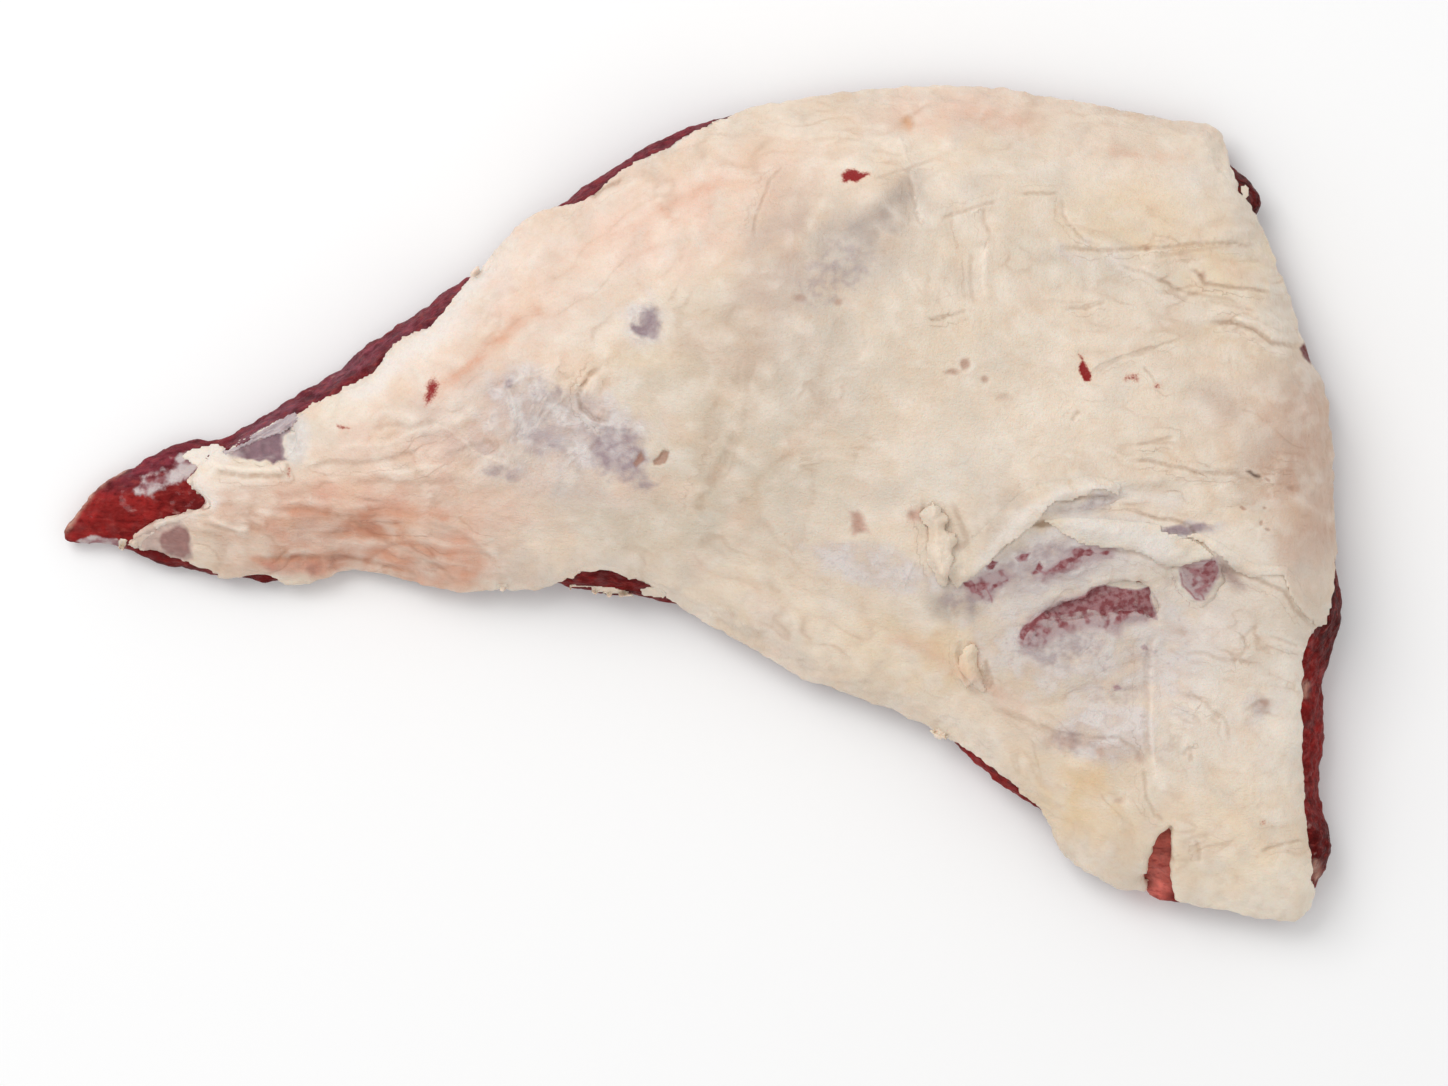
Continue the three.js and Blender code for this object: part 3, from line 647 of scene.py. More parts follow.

# %% Pale edges, warm streaks and red threads
# The rims of the shoulder and of the tail's end are pale fat. The lip and the edges of the torn sheets are
# painted pale as painted highlight on their rolled rims.
PALE_RIMS_AND_EDGE_HIGHLIGHTS = [
    ("bluish rim of the shoulder", 2.4, 0.85, [
        (-93.2, 23), (-87.8, 27), (-81.2, 30), (-77.2, 35.5), (-73.2, 39), (-66.8, 42), (-59.2, 53),
        (-50.2, 62),
    ]),
    ("rim of the tail's end", 2.2, 0.8, [(-129.8, 10.5), (-126.8, 12), (-122.2, 13.5), (-117.8, 11)]),
    ("rim low at the tail's end", 1.2, 0.35, [(-124.8, -3), (-129.2, -3), (-137.8, -7), (-141.2, -9.5)]),
    ("face of the tail's end", 2.4, 0.7, [(-126.8, 8.5), (-125.8, 4.5), (-120.2, -1)]),
    ("lip", 1.8, 0.6, [(66.2, -18.5), (78.2, -5), (84.2, -0.5), (93, 3.5), (100.5, 5)]),
    ("second sheet", 3.0, 0.8, [(89.2, -4), (99.2, -6), (109.2, -8.5), (119.2, -12)]),
    ("rim of the hollow's island", 2.6, 0.7, [
        (70.5, -30.2), (76.8, -26), (84.2, -22), (93, -18.5), (101.8, -17), (111.8, -17.5),
    ]),
    ("upper sheet", 2.2, 0.6, [(93, 4.5), (101.8, 4), (111.8, 2), (121.8, -0.5)]),
]
WARM_STREAKS = [
    ("streak by the red fleck", 1.8, 0.75, [(-67, 26.5), (-52, 41), (-38.8, 50.2)]),
    ("streak on the shoulder", 1.6, 0.4, [(-25.8, 64), (-12, 72.5), (9.2, 83.5)]),
    ("streak low on the shoulder", 1, 0.4, [(-17.8, 60.5), (-12, 64.8), (-9.8, 62)]),
    ("crown streak", 2.6, 0.28, [(44.2, 93.5), (56.8, 96), (71.8, 96.5), (84.2, 94)]),
    ("tail band", 1.8, 0.6, [(-110.8, -2), (-93.2, -1.5), (-75.8, -2), (-58.2, -4)]),
    ("tail band low", 2.2, 0.6, [(-100.8, -10.2), (-83.2, -9), (-65.8, -13), (-58.2, -19)]),
    ("tail band lowest", 1.2, 0.6, [(-114.2, -14.5), (-90.8, -13.5)]),
    ("cut end streak", 1.5, 0.15, [(125.5, 60.5), (134.2, 58.5), (141.8, 56)]),
    ("top right streak", 1.4, 0.25, [(99.2, 88.5), (114.2, 86.5), (124.2, 88)]),
    ("fleck of the shoulder", 0.7, 0.6, [(-12, 75), (-8.8, 73), (-7, 70.5)]),
    ("second fleck of the shoulder", 0.6, 0.5, [(-16, 69), (-12.8, 66), (-11.2, 63), (-12, 60.5)]),
    ("third fleck of the shoulder", 0.6, 0.4, [(-22.8, 67), (-19, 69.5), (-14.5, 71.5)]),
    ("hollow edge", 2.2, 0.3, [(44.2, -31.5), (56.8, -37), (84.2, -54)]),
]
VEINS = [
    ("hook in the hollow", 0.3, 0.8, [(70.2, -20.5), (71.2, -21.8), (72.5, -24.8)]),
    ("link in the hollow", 0.25, 0.6, [(82.8, -17), (84.2, -16.8), (86.2, -17.2), (87.5, -16.5)]),
    ("small tear, left loop", 0.35, 0.9, [
        (119, -16), (120.2, -20.8), (121.8, -22), (123.2, -23.8), (125.2, -24.2),
    ]),
    ("small tear, end of the loop", 0.3, 0.8, [(125.2, -24.2), (124.8, -22.8), (123.5, -21.5)]),
    ("small tear, top", 0.3, 0.7, [(119, -16), (121, -15), (124, -14.2), (126.8, -14)]),
    ("small tear, middle", 0.5, 1, [(121.2, -16.2), (126.8, -18.8)]),
    ("small tear, right", 0.5, 0.9, [(128.2, -14.8), (128.5, -17), (126.5, -19.8)]),
    ("small tear, low", 0.5, 1, [(122.8, -22), (126, -20.2), (127.5, -20.5)]),
]
print(len(PALE_RIMS_AND_EDGE_HIGHLIGHTS) + len(WARM_STREAKS) + len(VEINS), "coloured strokes")

# %% [markdown]
# Patches with a drawn outline
#
# Where a stain, a tear, a thin place or a painted shadow has a shape of its own, it is drawn as a closed
# outline. A patch is name, softness of its edge in millimetres, strength and outline, and a painted one has
# its colour too.

# %% Films, windows and tears
TAIL_FILM = [
    (-142.5, -9), (-135.8, -5.2), (-131.2, -4.2), (-129.2, -6), (-127.8, -10.2), (-127.5, -14),
    (-132, -14.5), (-138.2, -12.8), (-141.2, -10.8),
]
LENS = [
    (114.8, -6.5), (116.8, -5.5), (119.2, -5), (122.2, -5.2), (124.8, -6), (121.8, -7), (122.2, -8.2),
    (119.2, -8), (116.8, -7.2),
]
NOTCH = [(-127.8, 1.8), (-126, 2.5), (-124.5, 1.2), (-123.5, -0.5), (-125, -1.5), (-127, -1), (-128.2, 0.2)]
TAIL_WINDOW = [
    (-118, 12.8), (-115.8, 14.2), (-103, 20), (-103, 18.2), (-104.8, 17), (-105.2, 15.2), (-104.5, 13.8),
    (-104.8, 12), (-103.8, 11), (-106, 10.8), (-107.5, 10), (-109.2, 11), (-111, 10.8), (-115.5, 11.5),
]
BARE_STRIP = [
    (-120, 13), (-113.2, 16), (-102.2, 22.2), (-100, 22.8), (-98.5, 24.2), (-98, 25.2), (-99.8, 25.8),
    (-103.2, 25.2), (-106.5, 23.8), (-119.5, 14.8),
]
WINDOW_FLOOR = [
    (-119.5, 12.5), (-115.8, 15.2), (-103.2, 22.2), (-100, 22.2), (-99.5, 18.5), (-100.5, 10.5),
    (-103.8, 9.5), (-109.2, 9.5), (-115.8, 10.5),
]
SMALL_TEAR = [
    (118.5, -16), (120, -14.8), (124.5, -14), (127, -13.2), (128.8, -13.8), (129, -17.8), (127.8, -21),
    (125.8, -24.5), (123.2, -24.2), (120.8, -22.2), (119, -19.8),
]
TEAR = [
    (78.8, -33.5), (79.5, -31.2), (81.2, -29.5), (83.2, -27.8), (85.8, -26.5), (88, -25.2), (90, -24.5),
    (92.2, -24), (94.5, -23), (96.2, -21.5), (98, -20.5), (100, -20.2), (102.2, -20.5), (104.8, -21.2),
    (106.8, -21), (108.5, -21.5), (110, -21.8), (111.5, -20.8), (111.8, -23.5), (112.5, -26),
    (113.8, -28.2), (113, -29.5), (111.5, -28), (109.5, -27), (107.2, -27), (105.5, -27.5), (104, -29.2),
    (103.2, -27.5), (102, -26.5), (101, -28.2), (99.8, -27), (98.2, -26.2), (97, -28), (95.8, -26.8),
    (94, -26.2), (92.8, -28), (91.2, -27.2), (89.5, -28.8), (87.5, -28), (86, -29.5), (84.2, -28.2),
    (82.8, -29.5), (81.8, -32), (80.8, -34.2), (79.2, -34.8),
]
BARE_MEAT = [
    (78.8, -33.5), (79.8, -31), (84.8, -27), (88.2, -25.2), (94.8, -23), (97.2, -21), (100.2, -20.2),
    (104.8, -21.2), (108.5, -21.5), (111.5, -20.8), (112, -24), (113.2, -27), (113.5, -29), (111.5, -28),
    (108, -27.2), (104.2, -27.5), (96.2, -26.5), (84.2, -29.2), (81.8, -31.5), (80.2, -34.2),
]
FILM_PATCHES = [
    ("small tear", 0.8, 0.8, SMALL_TEAR),
    ("lens between the sheets", 0.5, 0.9, LENS),
]
print(len(FILM_PATCHES), "films over the meat")

# %% Darker patches, where the fat is thinnest
ROUND_PIT = ("round pit", 0.9, 1, [
    (-14.8, 48.5), (-12.8, 49), (-11.2, 47.5), (-10.8, 45.2), (-11.2, 42.8), (-12.8, 41.5), (-15, 41.5),
    (-16.8, 42.2), (-18, 43.2), (-18.5, 44.5), (-17.2, 45.2), (-15.8, 44.5), (-14.8, 45.8), (-15, 47.2),
])
DEEP_PATCHES = [
    ("dark of the thin patch", 3, 0.65, [
        (-30.5, 20), (-25.8, 19.2), (-21.8, 20.2), (-17.8, 20), (-15, 17.5), (-13.2, 15), (-15.5, 13.2),
        (-15.5, 10.2), (-17.5, 8.2), (-20.5, 9.2), (-22.8, 8.2), (-26, 7.8), (-27.8, 8.8), (-25.2, 11.5),
        (-25.8, 14.8), (-28.8, 16.8),
    ]),
    ("its lower end", 2, 0.5, [
        (-20.2, 8.5), (-15.8, 9), (-13.2, 6.5), (-14.2, 4), (-17.2, 4.8), (-19.8, 6.5),
    ]),
    ROUND_PIT,
    ("left slip in the thin patch", 1.2, 0.5, [
        (-40, 31.8), (-39, 31.8), (-41.2, 25.8), (-42.5, 25.5), (-42.8, 27.5), (-41, 30.2),
    ]),
    ("right slip in the thin patch", 1.2, 0.5, [
        (-38, 30), (-36.5, 30.2), (-35.2, 28.2), (-35.8, 26.2), (-37.8, 26.5), (-38.8, 27.8),
    ]),
    ("tear's haze", 3.5, 0.35, [
        (77.8, -36.5), (78.2, -33.5), (81.8, -30.5), (93, -28.2), (99.2, -28), (101.2, -30.5), (99.2, -34),
        (94.2, -37), (88, -38), (81.8, -38.2),
    ]),
    ("haze by the small fleck", 2.2, 0.3, [
        (108.8, -34), (111.8, -34.5), (112.8, -37.5), (111.2, -41), (108.2, -40), (107.8, -37),
    ]),
    ("haze of the upper flecks", 2.2, 0.55, [
        (66.2, -21), (70.5, -18.5), (75.5, -16.5), (80.5, -14), (86.8, -15.5), (91.8, -12), (96.8, -11),
        (101.2, -11.5), (96.8, -14), (90.5, -16.5), (84.2, -18.5), (78, -20), (73.8, -23), (70.5, -24.8),
        (66.8, -23.5),
    ]),
]
print(len(DEEP_PATCHES), "dark patches")

# %% Painted patches
PAINTED_PATCHES = [
    ("film at the tail", 0.5, 0.9, TAIL_FILM, (192, 167, 157)),
    ("window in the tail film", 0.4, 0.9, [
        (-135.2, -7.2), (-131, -5.5), (-129, -6.2), (-128.2, -8), (-128.5, -10.5), (-128.2, -12.2),
        (-129.8, -13.5), (-134, -12.5), (-135.2, -11.2), (-135.8, -9.2),
    ], (146, 104, 99)),
    ("notch", 0.4, 0.9, NOTCH, (182, 134, 126)),
    ("flap low on the tail", 1.2, 0.7, [
        (-113.2, -13), (-109.2, -14.2), (-103.2, -14.5), (-96.2, -13.8), (-89.5, -14.5), (-96.2, -19),
        (-99.5, -17.5), (-103.8, -18), (-108.2, -17),
    ], (206, 146, 122)),
    ("brown ribs on the flap", 0.7, 0.6, [
        (-110.2, -14.5), (-106.8, -14.8), (-105.8, -17), (-108.2, -17.5),
    ], (184, 122, 104)),
    ("brown ribs further right", 0.7, 0.6, [
        (-99.5, -14.8), (-95.2, -14.5), (-96.2, -17.5), (-98.2, -18.2),
    ], (184, 122, 104)),
    ("window of the tail", 0.25, 1, TAIL_WINDOW, (130, 100, 108)),
    ("milky left end of the window", 0.6, 0.8, [
        (-118.8, 13.2), (-115.8, 13.8), (-114.8, 12), (-116.8, 11.5), (-118.5, 12),
    ], (166, 148, 150)),
    ("milky right rim of the window", 1.2, 0.95, [
        (-103, 20.5), (-100.2, 22.5), (-98.2, 19), (-98.8, 14), (-100.2, 10.5), (-103, 10.2), (-104.5, 11.8),
        (-104.8, 17), (-103, 18.2),
    ], (214, 206, 200)),
    ("spot by the long shred", 0.7, 0.7, [
        (36.5, -2.2), (38.5, -1.8), (40, -3), (41.2, -6.8), (37.5, -7.8), (37.2, -5.8), (37.8, -4),
    ], (186, 140, 124)),
    ("tan end of the short shred", 0.8, 0.7, [
        (66.5, -36.5), (68.5, -36), (69.5, -38.5), (69, -41), (67, -40),
    ], (222, 168, 136)),
    ("stain on the heel", 1.2, 0.7, [
        (136.8, -50), (139.8, -48.2), (142.2, -49.5), (141.2, -52), (138.2, -52.5),
    ], (176, 150, 138)),
    # Painted shadow in the gap under the edge of the lip.
    ("tan corner under the lip", 0.4, 0.8, [
        (82, -5.8), (84.8, -3.8), (90.8, -5), (86.8, -5.8),
    ], (150, 118, 88)),
    # Painted shadow under the lower edge of the upper sheet.
    ("grey under the upper sheet", 1.6, 0.8, [
        (85.8, -2), (90.8, 0), (96.8, 1), (102.2, 1.2), (101.8, -0.5), (96.8, -2.5), (90.8, -3.5),
    ], (190, 180, 176)),
    ("pit by the fold", 0.3, 0.9, [
        (135.8, 8.2), (136.8, 8.5), (137.5, 7.8), (139, 7.2), (139.5, 6.5), (138.2, 6.5), (136.8, 7.5),
    ], (84, 54, 38)),
    ("chip at the right edge", 0.3, 1, [
        (149.2, 39), (150.5, 40.2), (152, 36.5), (151.8, 35), (150.2, 37),
    ], (100, 8, 4)),
    ("shade right of the small tear", 1, 0.8, [
        (128.8, -13.2), (131, -14.5), (135.5, -21), (133.5, -20.8), (129, -17.2),
    ], (158, 130, 122)),
    ("orange fleck on the crown", 1.0, 0.8, [
        (49.8, 96.2), (50.8, 97), (52, 96.5), (52.5, 95), (51.5, 93.8), (50.2, 94.5),
    ], (204, 146, 98)),
    ("pink by the long shred", 0.8, 0.7, [
        (51.2, -2), (53.8, -1), (56, -2), (55.2, -4), (52.8, -4.8), (51.2, -3.8),
    ], (202, 160, 142)),
]
print(len(PAINTED_PATCHES), "painted patches")

# %% Bare meat in the tears
MEAT_PATCHES = [
    ("tear", 0.4, 1, BARE_MEAT),
    ("edge that dissolves", 2.2, 0.56, [
        (78.8, -34), (81.2, -28.5), (88.8, -24), (98.8, -21.5), (109.2, -22.5), (113.2, -27.5),
        (110.8, -29.5), (105.2, -30.2), (104, -33), (100.2, -31.5), (94.2, -31), (80.8, -37),
    ]),
    ("specks around the long fleck", 1.8, 0.5, [
        (81.8, -19), (91.2, -12), (96.8, -9.5), (103.8, -10), (102.2, -13.5), (96.2, -15), (85.8, -19.5),
    ]),
    ("specks at the tip of the lip", 1.6, 0.5, [
        (64.8, -20.5), (69.2, -17.5), (74.8, -15.5), (77.8, -18), (73.8, -21.5), (71.8, -24.5),
        (67.2, -23.5),
    ]),
    ("web of the small tear", 1.5, 0.6, [
        (119.2, -15), (128.5, -13.5), (128.8, -18), (126.2, -22.5), (123.5, -24), (120.8, -20.5),
    ]),
    ("under the tip of the lip", 0.4, 1, [
        (65, -19.8), (67, -19), (68.2, -20.2), (68.5, -21.5), (70.5, -22), (69.2, -23.2), (67.2, -22.2),
    ]),
    ("second under the lip", 0.3, 1, [
        (70.8, -15.5), (72.2, -14.2), (73.8, -14.5), (72.5, -16.2), (71.2, -16.5),
    ]),
    ("fleck on the film", 0.3, 1, [(78, -13.5), (79.8, -12.5), (81.8, -12.2), (80.8, -14.2), (79, -14.5)]),
    ("small arrow", 0.3, 0.9, [(83, -16.2), (84.2, -14.2), (85.2, -15.8), (84.2, -16.8)]),
    ("dash under it", 0.3, 0.7, [(81.8, -17), (83.2, -16.5), (84, -17.2), (82.5, -18)]),
    ("left fleck", 0.35, 0.85, [
        (68.5, -20.8), (69.5, -19.8), (71.8, -19.5), (71, -21.2), (69.2, -22.5), (68, -22),
    ]),
    ("fleck beside it", 0.35, 0.7, [(72, -20), (73.2, -19.5), (74, -20.5), (72.8, -21.2)]),
    ("fleck further right", 0.35, 0.75, [(74.5, -19.2), (75.8, -18.5), (76.5, -19.2), (75.5, -20)]),
    ("long fleck", 0.5, 0.85, [
        (86.2, -17), (87.8, -15.2), (91.8, -12.8), (92.8, -11.2), (94.8, -10.5), (98.2, -11.8),
        (100.2, -11.2), (102.2, -11.8), (100.8, -13), (98.2, -12.8), (96.5, -13.5), (94.5, -13), (93, -14.5),
        (91.5, -15), (90.5, -16), (88.2, -16),
    ]),
    ("small tear, left blob", 0.5, 0.8, [
        (120.2, -15.5), (121.8, -15), (122.8, -16), (121.2, -16.8), (120.2, -16.2),
    ]),
    ("small tear, right blob", 0.5, 0.9, [
        (123.8, -15.8), (125.8, -14.5), (128.2, -14), (128.8, -16.8), (127.5, -20), (126, -18.5),
        (124.2, -17.5),
    ]),
    ("fleck in the haze", 0.6, 0.6, [(109.5, -35.8), (110.5, -35.2), (111.2, -36.2), (110, -36.5)]),
    ("fleck low in the hollow", 0.4, 0.55, [(102.5, -45.5), (103.8, -45.2), (105, -46.2), (103.2, -46.8)]),
]
print(len(MEAT_PATCHES), "patches of meat")

# %% Blood and pits
BLOOD_PATCHES = [
    ("fleck on the crown", 1.0, 1.3, [
        (35, 82.2), (36, 83.2), (37.5, 83.5), (38.8, 82.8), (41.2, 82.5), (38.2, 80.8), (36.8, 81),
        (35.5, 80.8),
    ]),
    ("fleck by the fold", 0.6, 1.1, [
        (94, 37.5), (95, 36.2), (97, 32.2), (96.8, 30.8), (95.8, 30.5), (94, 33.2), (93.8, 34.5),
        (94.8, 35.8),
    ]),
    ("orange fleck", 1.0, 0.72, [
        (-69, 30), (-67.5, 31.8), (-65.8, 29.8), (-66.5, 27.5), (-67.8, 25.5), (-69.5, 24.5), (-70, 26.5),
        (-69.2, 28.2),
    ]),
    ("slip at the root of the tail", 0.5, 0.6, [
        (-92, 20), (-90, 19.8), (-87.8, 18.8), (-89.8, 18.5), (-91.5, 19),
    ]),
    ("slip on the fold of the tail", 0.5, 0.5, [(-104.2, 9.5), (-103.2, 9.2), (-102.8, 6.8), (-103.8, 6.5)]),
]
PIT_PATCHES = [
    ("small hole", 0.3, 1, [
        (-12.5, 10.8), (-11.2, 11.8), (-10.5, 13), (-9.8, 13.5), (-8.5, 13), (-8.8, 11.5), (-9.5, 10.2),
        (-10.8, 9.8), (-12.2, 9.8),
    ]),
    ("fold by the hole", 0.5, 0.9, [(-15.5, 13.5), (-14.5, 11), (-16.8, 9.2), (-17.5, 10.2), (-16.5, 11.8)]),
]
print(len(BLOOD_PATCHES), "patches of blood,", len(PIT_PATCHES), "pits")

# %% [markdown]
# Wrinkle fields
#
# Fat lies in soft wrinkles that run a different way in each part of the joint. Each field is a name, x, y,
# half-length, half-width, the way its wrinkles run in degrees, their spacing and their height. They follow a
# wave of soft noise, which is folded where it passes 0, so that a sharp valley lies between two wrinkles.

# %% Wrinkles
WRINKLES = [
    ("tail", -92, -6, 44, 14, -3, 5.5, 0.65),
    ("end of the tail", -118, -2, 14, 16, 12, 4, 0.5),
    ("root of the tail", -58, 14, 26, 14, 22, 5, 0.6),
    ("thin patch", -36, 24, 20, 14, 62, 3.6, 0.6),
    ("shoulder", -25, 58, 36, 18, 38, 9, 0.5),
    ("crown", 45, 92, 60, 12, 4, 8, 0.45),
    ("middle", 12, 20, 36, 36, 65, 10, 0.5),
    ("upright folds", 70, 60, 15, 18, 88, 5, 0.45),
    ("cut end", 122, 56, 36, 18, -8, 5, 0.6),
    ("second field", 122, 26, 36, 14, -14, 6, 0.5),
    ("above the lip", 118, 4, 38, 9, -4, 3.6, 0.7),
    ("film of the hollow", 96, -32, 30, 18, 20, 5, 0.5),
    ("low edge", 20, -22, 46, 12, -28, 7, 0.5),
    ("heel", 132, -42, 22, 18, -10, 5, 0.6),
    ("low heel", 134, -84, 20, 16, 24, 7, 0.5),
    ("middle of the heel", 118, -66, 10, 14, 80, 6, 0.35),
    ("heel side", 92, -66, 26, 14, -42, 6, 0.4),
]
WRINKLE_STRETCH = 3.2
WRINKLE_BEND = 3.5
ROUND_SHARE = 0.7
FOLDED_SHARE = 1.1
VALLEY_DEPTH = 0.25


def wrinkle_fields(plan):
    """The height of the wrinkles, the wave that they follow, 0 between two of them, and their strength."""
    flowing = bent(plan, WRINKLE_BEND, 17, 15)
    mix, strength, total = np.zeros((3, len(plan)))
    for i, (name, x, y, rx, ry, turn, spacing, peak) in enumerate(WRINKLES):
        share = ramp(ellipse_distance(plan, (name, x, y, rx, ry, turn, 1)), 1.5, 0.5)
        near = np.flatnonzero(share > 0.01)
        c, s = math.cos(math.radians(turn)), math.sin(math.radians(turn))
        stretched = np.column_stack((flowing[near] @ (c, s) / WRINKLE_STRETCH, flowing[near] @ (-s, c)))
        mix[near] += share[near] * rough(stretched, spacing, 3, 20 + i)
        strength[near] += share[near] * peak
        total[near] += share[near]
    wave = mix / np.maximum(total, 0.01)
    strength /= np.maximum(total, 1)
    raised = strength * (ROUND_SHARE * wave + FOLDED_SHARE * np.abs(wave) - VALLEY_DEPTH)
    return raised, wave, strength


print(len(WRINKLES), "wrinkle fields")

# %% [markdown]
# The fat layer
#
# The solid is a faceted sheet. Its copy is merged, rounded by subdivision and rebuilt by a voxel remesh as an
# even skin of small faces, fine enough to carve. The underside and the walls close to the lean are sunk into
# it, because fat grows on meat with no gap. Faces that nobody sees and plain skin are thinned out. Faces near
# creases and specks are divided once more, so that a line half a millimetre wide stays a line.

# %% Sink the walls
def surface_of(piece):
    """A piece's faces as they are now, for finding where a line meets them."""
    return BVHTree.FromPolygons(
        [v.co.copy() for v in piece.data.vertices], [list(face.vertices) for face in piece.data.polygons]
    )


WALL_SINK = 0.7
WALL_REACH = 0.9
STEEP = 0.5


def sink_walls(piece, surface):
    """Pushes the steep faces of a piece that look at a surface close by into it."""
    points, outward = points_of(piece), normals_of(piece)
    steep = np.flatnonzero(np.abs(outward[:, 2]) < STEEP)
    near = [
        i for i in steep
        if surface.ray_cast(Vector(points[i]) * MM, Vector(outward[i]), WALL_REACH * MM)[0]
    ]
    points[near] += WALL_SINK * outward[near]
    move_points(piece, points)
    print(len(near), "points of the walls sunk")


# %% Helpers for fine copies
MERGE_DISTANCE = 0.01
SMOOTHING = 3


def fine_copy(node, name, voxel, beside=None):
    """A rounded copy of a solid, of even small faces; its walls sink into the solid beside it, if any."""
    piece = bpy.data.objects.new(name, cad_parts[node].data.copy())
    bpy.context.scene.collection.objects.link(piece)
    piece.data.materials.clear()
    pick_out(piece)
    bpy.ops.mesh.customdata_custom_splitnormals_clear()
    bpy.ops.object.mode_set(mode="EDIT")
    bpy.ops.mesh.select_all(action="SELECT")
    bpy.ops.mesh.remove_doubles(threshold=MERGE_DISTANCE * MM)
    bpy.ops.object.mode_set(mode="OBJECT")
    apply_modifier(piece, "SUBSURF", levels=2, render_levels=2)
    if beside:
        sink_walls(piece, surface_of(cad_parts[beside]))
    apply_modifier(piece, "REMESH", mode="VOXEL", voxel_size=voxel * MM)
    apply_modifier(piece, "SMOOTH", factor=0.5, iterations=SMOOTHING)
    print(name, len(piece.data.vertices), "points,", triangles_of(piece), "triangles")
    return piece


def thin_out(piece, chosen, keep):
    """Leaves this share of the triangles on the chosen part of a piece."""
    group = piece.vertex_groups.new(name="chosen")
    group.add(np.flatnonzero(chosen).tolist(), 1, "REPLACE")
    share = np.count_nonzero(chosen) / len(chosen)
    apply_modifier(piece, "DECIMATE", ratio=1 - (1 - keep) * share, vertex_group="chosen")
    piece.vertex_groups.remove(piece.vertex_groups["chosen"])
    print(piece.name, "thinned to", triangles_of(piece), "triangles")


# %% Fine copy of the fat
FAT_VOXEL = 0.84
UNDERSIDE_SINK = 1.0
UNDERSIDE_KEEP = 0.06

fat_layer = fine_copy("fat_cap", "fat_layer", FAT_VOXEL, beside="lean")
points = points_of(fat_layer)
facing_down = normals_of(fat_layer)[:, 2] < -0.3
points[facing_down, 2] -= UNDERSIDE_SINK
move_points(fat_layer, points)
thin_out(fat_layer, facing_down, UNDERSIDE_KEEP)

# %% Keep the skin fine only where marks and edges lie
CLOSE_TO_MARK = 0.85


def near_marks(plan, strokes, specks, outlines, reach):
    """Which places lie this close to a path, a speck or an outline."""
    close = np.zeros(len(plan), bool)
    paths = [stroke[-1] for stroke in strokes] + [outline + outline[:1] for outline in outlines]
    for path in paths:
        near = numbers_near(plan, path, reach + 1)
        close[near] |= np.abs(nearest_on_path(plan[near], path)[0]) < reach
    for mark in specks:
        close |= ellipse_distance(plan, mark) < 1 + reach / min(mark[3], mark[4])
    return close


def divide_near_marks(piece, strokes, specks, outlines):
    """Divides once the faces that look up and lie near marks."""
    mesh = piece.data
    plan = seen_from_camera(numbers_of(mesh.polygons, "center") / MM)
    close = near_marks(plan, strokes, specks, outlines, CLOSE_TO_MARK)
    close &= numbers_of(mesh.polygons, "normal")[:, 2] > 0.2
    mesh.vertices.foreach_set("select", np.zeros(len(mesh.vertices), bool))
    mesh.edges.foreach_set("select", np.zeros(len(mesh.edges), bool))
    mesh.polygons.foreach_set("select", close)
    pick_out(piece)
    bpy.context.tool_settings.mesh_select_mode = (False, False, True)
    bpy.ops.object.mode_set(mode="EDIT")
    bpy.ops.mesh.subdivide(number_cuts=1)
    bpy.ops.object.mode_set(mode="OBJECT")
    print(piece.name, "now", triangles_of(piece), "triangles")


FINE_OUTLINES = [patch[-1] for patch in MEAT_PATCHES + BLOOD_PATCHES + PIT_PATCHES + FILM_PATCHES]
FINE_OUTLINES += [patch[3] for patch in DEEP_PATCHES + PAINTED_PATCHES if patch[1] < 0.6]
FINE_STROKES = [stroke for stroke in CREASES if stroke[2] >= 0.5] + STRANDS + VEINS
PLAIN_REACH = 2.0
PLAIN_KEEP = 0.34

plan = seen_from_camera(points_of(fat_layer))
upward = normals_of(fat_layer)[:, 2]
plain = ~near_marks(plan, FINE_STROKES, RUST, FINE_OUTLINES, PLAIN_REACH) & (upward > 0.75)
thin_out(fat_layer, plain, PLAIN_KEEP)
divide_near_marks(fat_layer, FINE_STROKES, RUST, FINE_OUTLINES)

# %% [markdown]
# Carving the fat
#
# The skin is pushed about sideways a little, which frays its edges. Then it is raised and lowered: broad
# swells, wrinkles, grooves with swollen lips along the creases, raised strands, and small pits at the specks.

# %% Fray the edges
def fray(points, sides, amounts):
    """Pushes points sideways by noise of several amounts and sizes; sides is how much each takes part."""
    moved = points.copy()
    for seed, (amount, size) in enumerate(amounts):
        for axis in (0, 1):
            moved[:, axis] += sides * amount * rough(points, size, 2, 40 + 2 * seed + axis)
    return moved


def near_rim(piece, reach):
    """1 at the steep sides of a piece, fading to 0 over this distance on its top."""
    points, upward = points_of(piece), normals_of(piece)[:, 2]
    steep = points[np.abs(upward) < STEEP]
    tree = KDTree(len(steep))
    for i, place in enumerate(steep.tolist()):
        tree.insert(place, i)
    tree.balance()
    return ramp(np.array([tree.find(place)[2] for place in points.tolist()]), reach, 0)


def nudged(points, nudges):
    """Points pulled sideways like clay: each nudge is a name, x, y, its reach, and the pull along x and y."""
    for _, x, y, reach, along_x, along_y in nudges:
        share = np.exp(-((np.hypot(points[:, 0] - x, points[:, 1] - y) / reach) ** 2))
        points = points + share[:, None] * (along_x, along_y, 0)
    return points


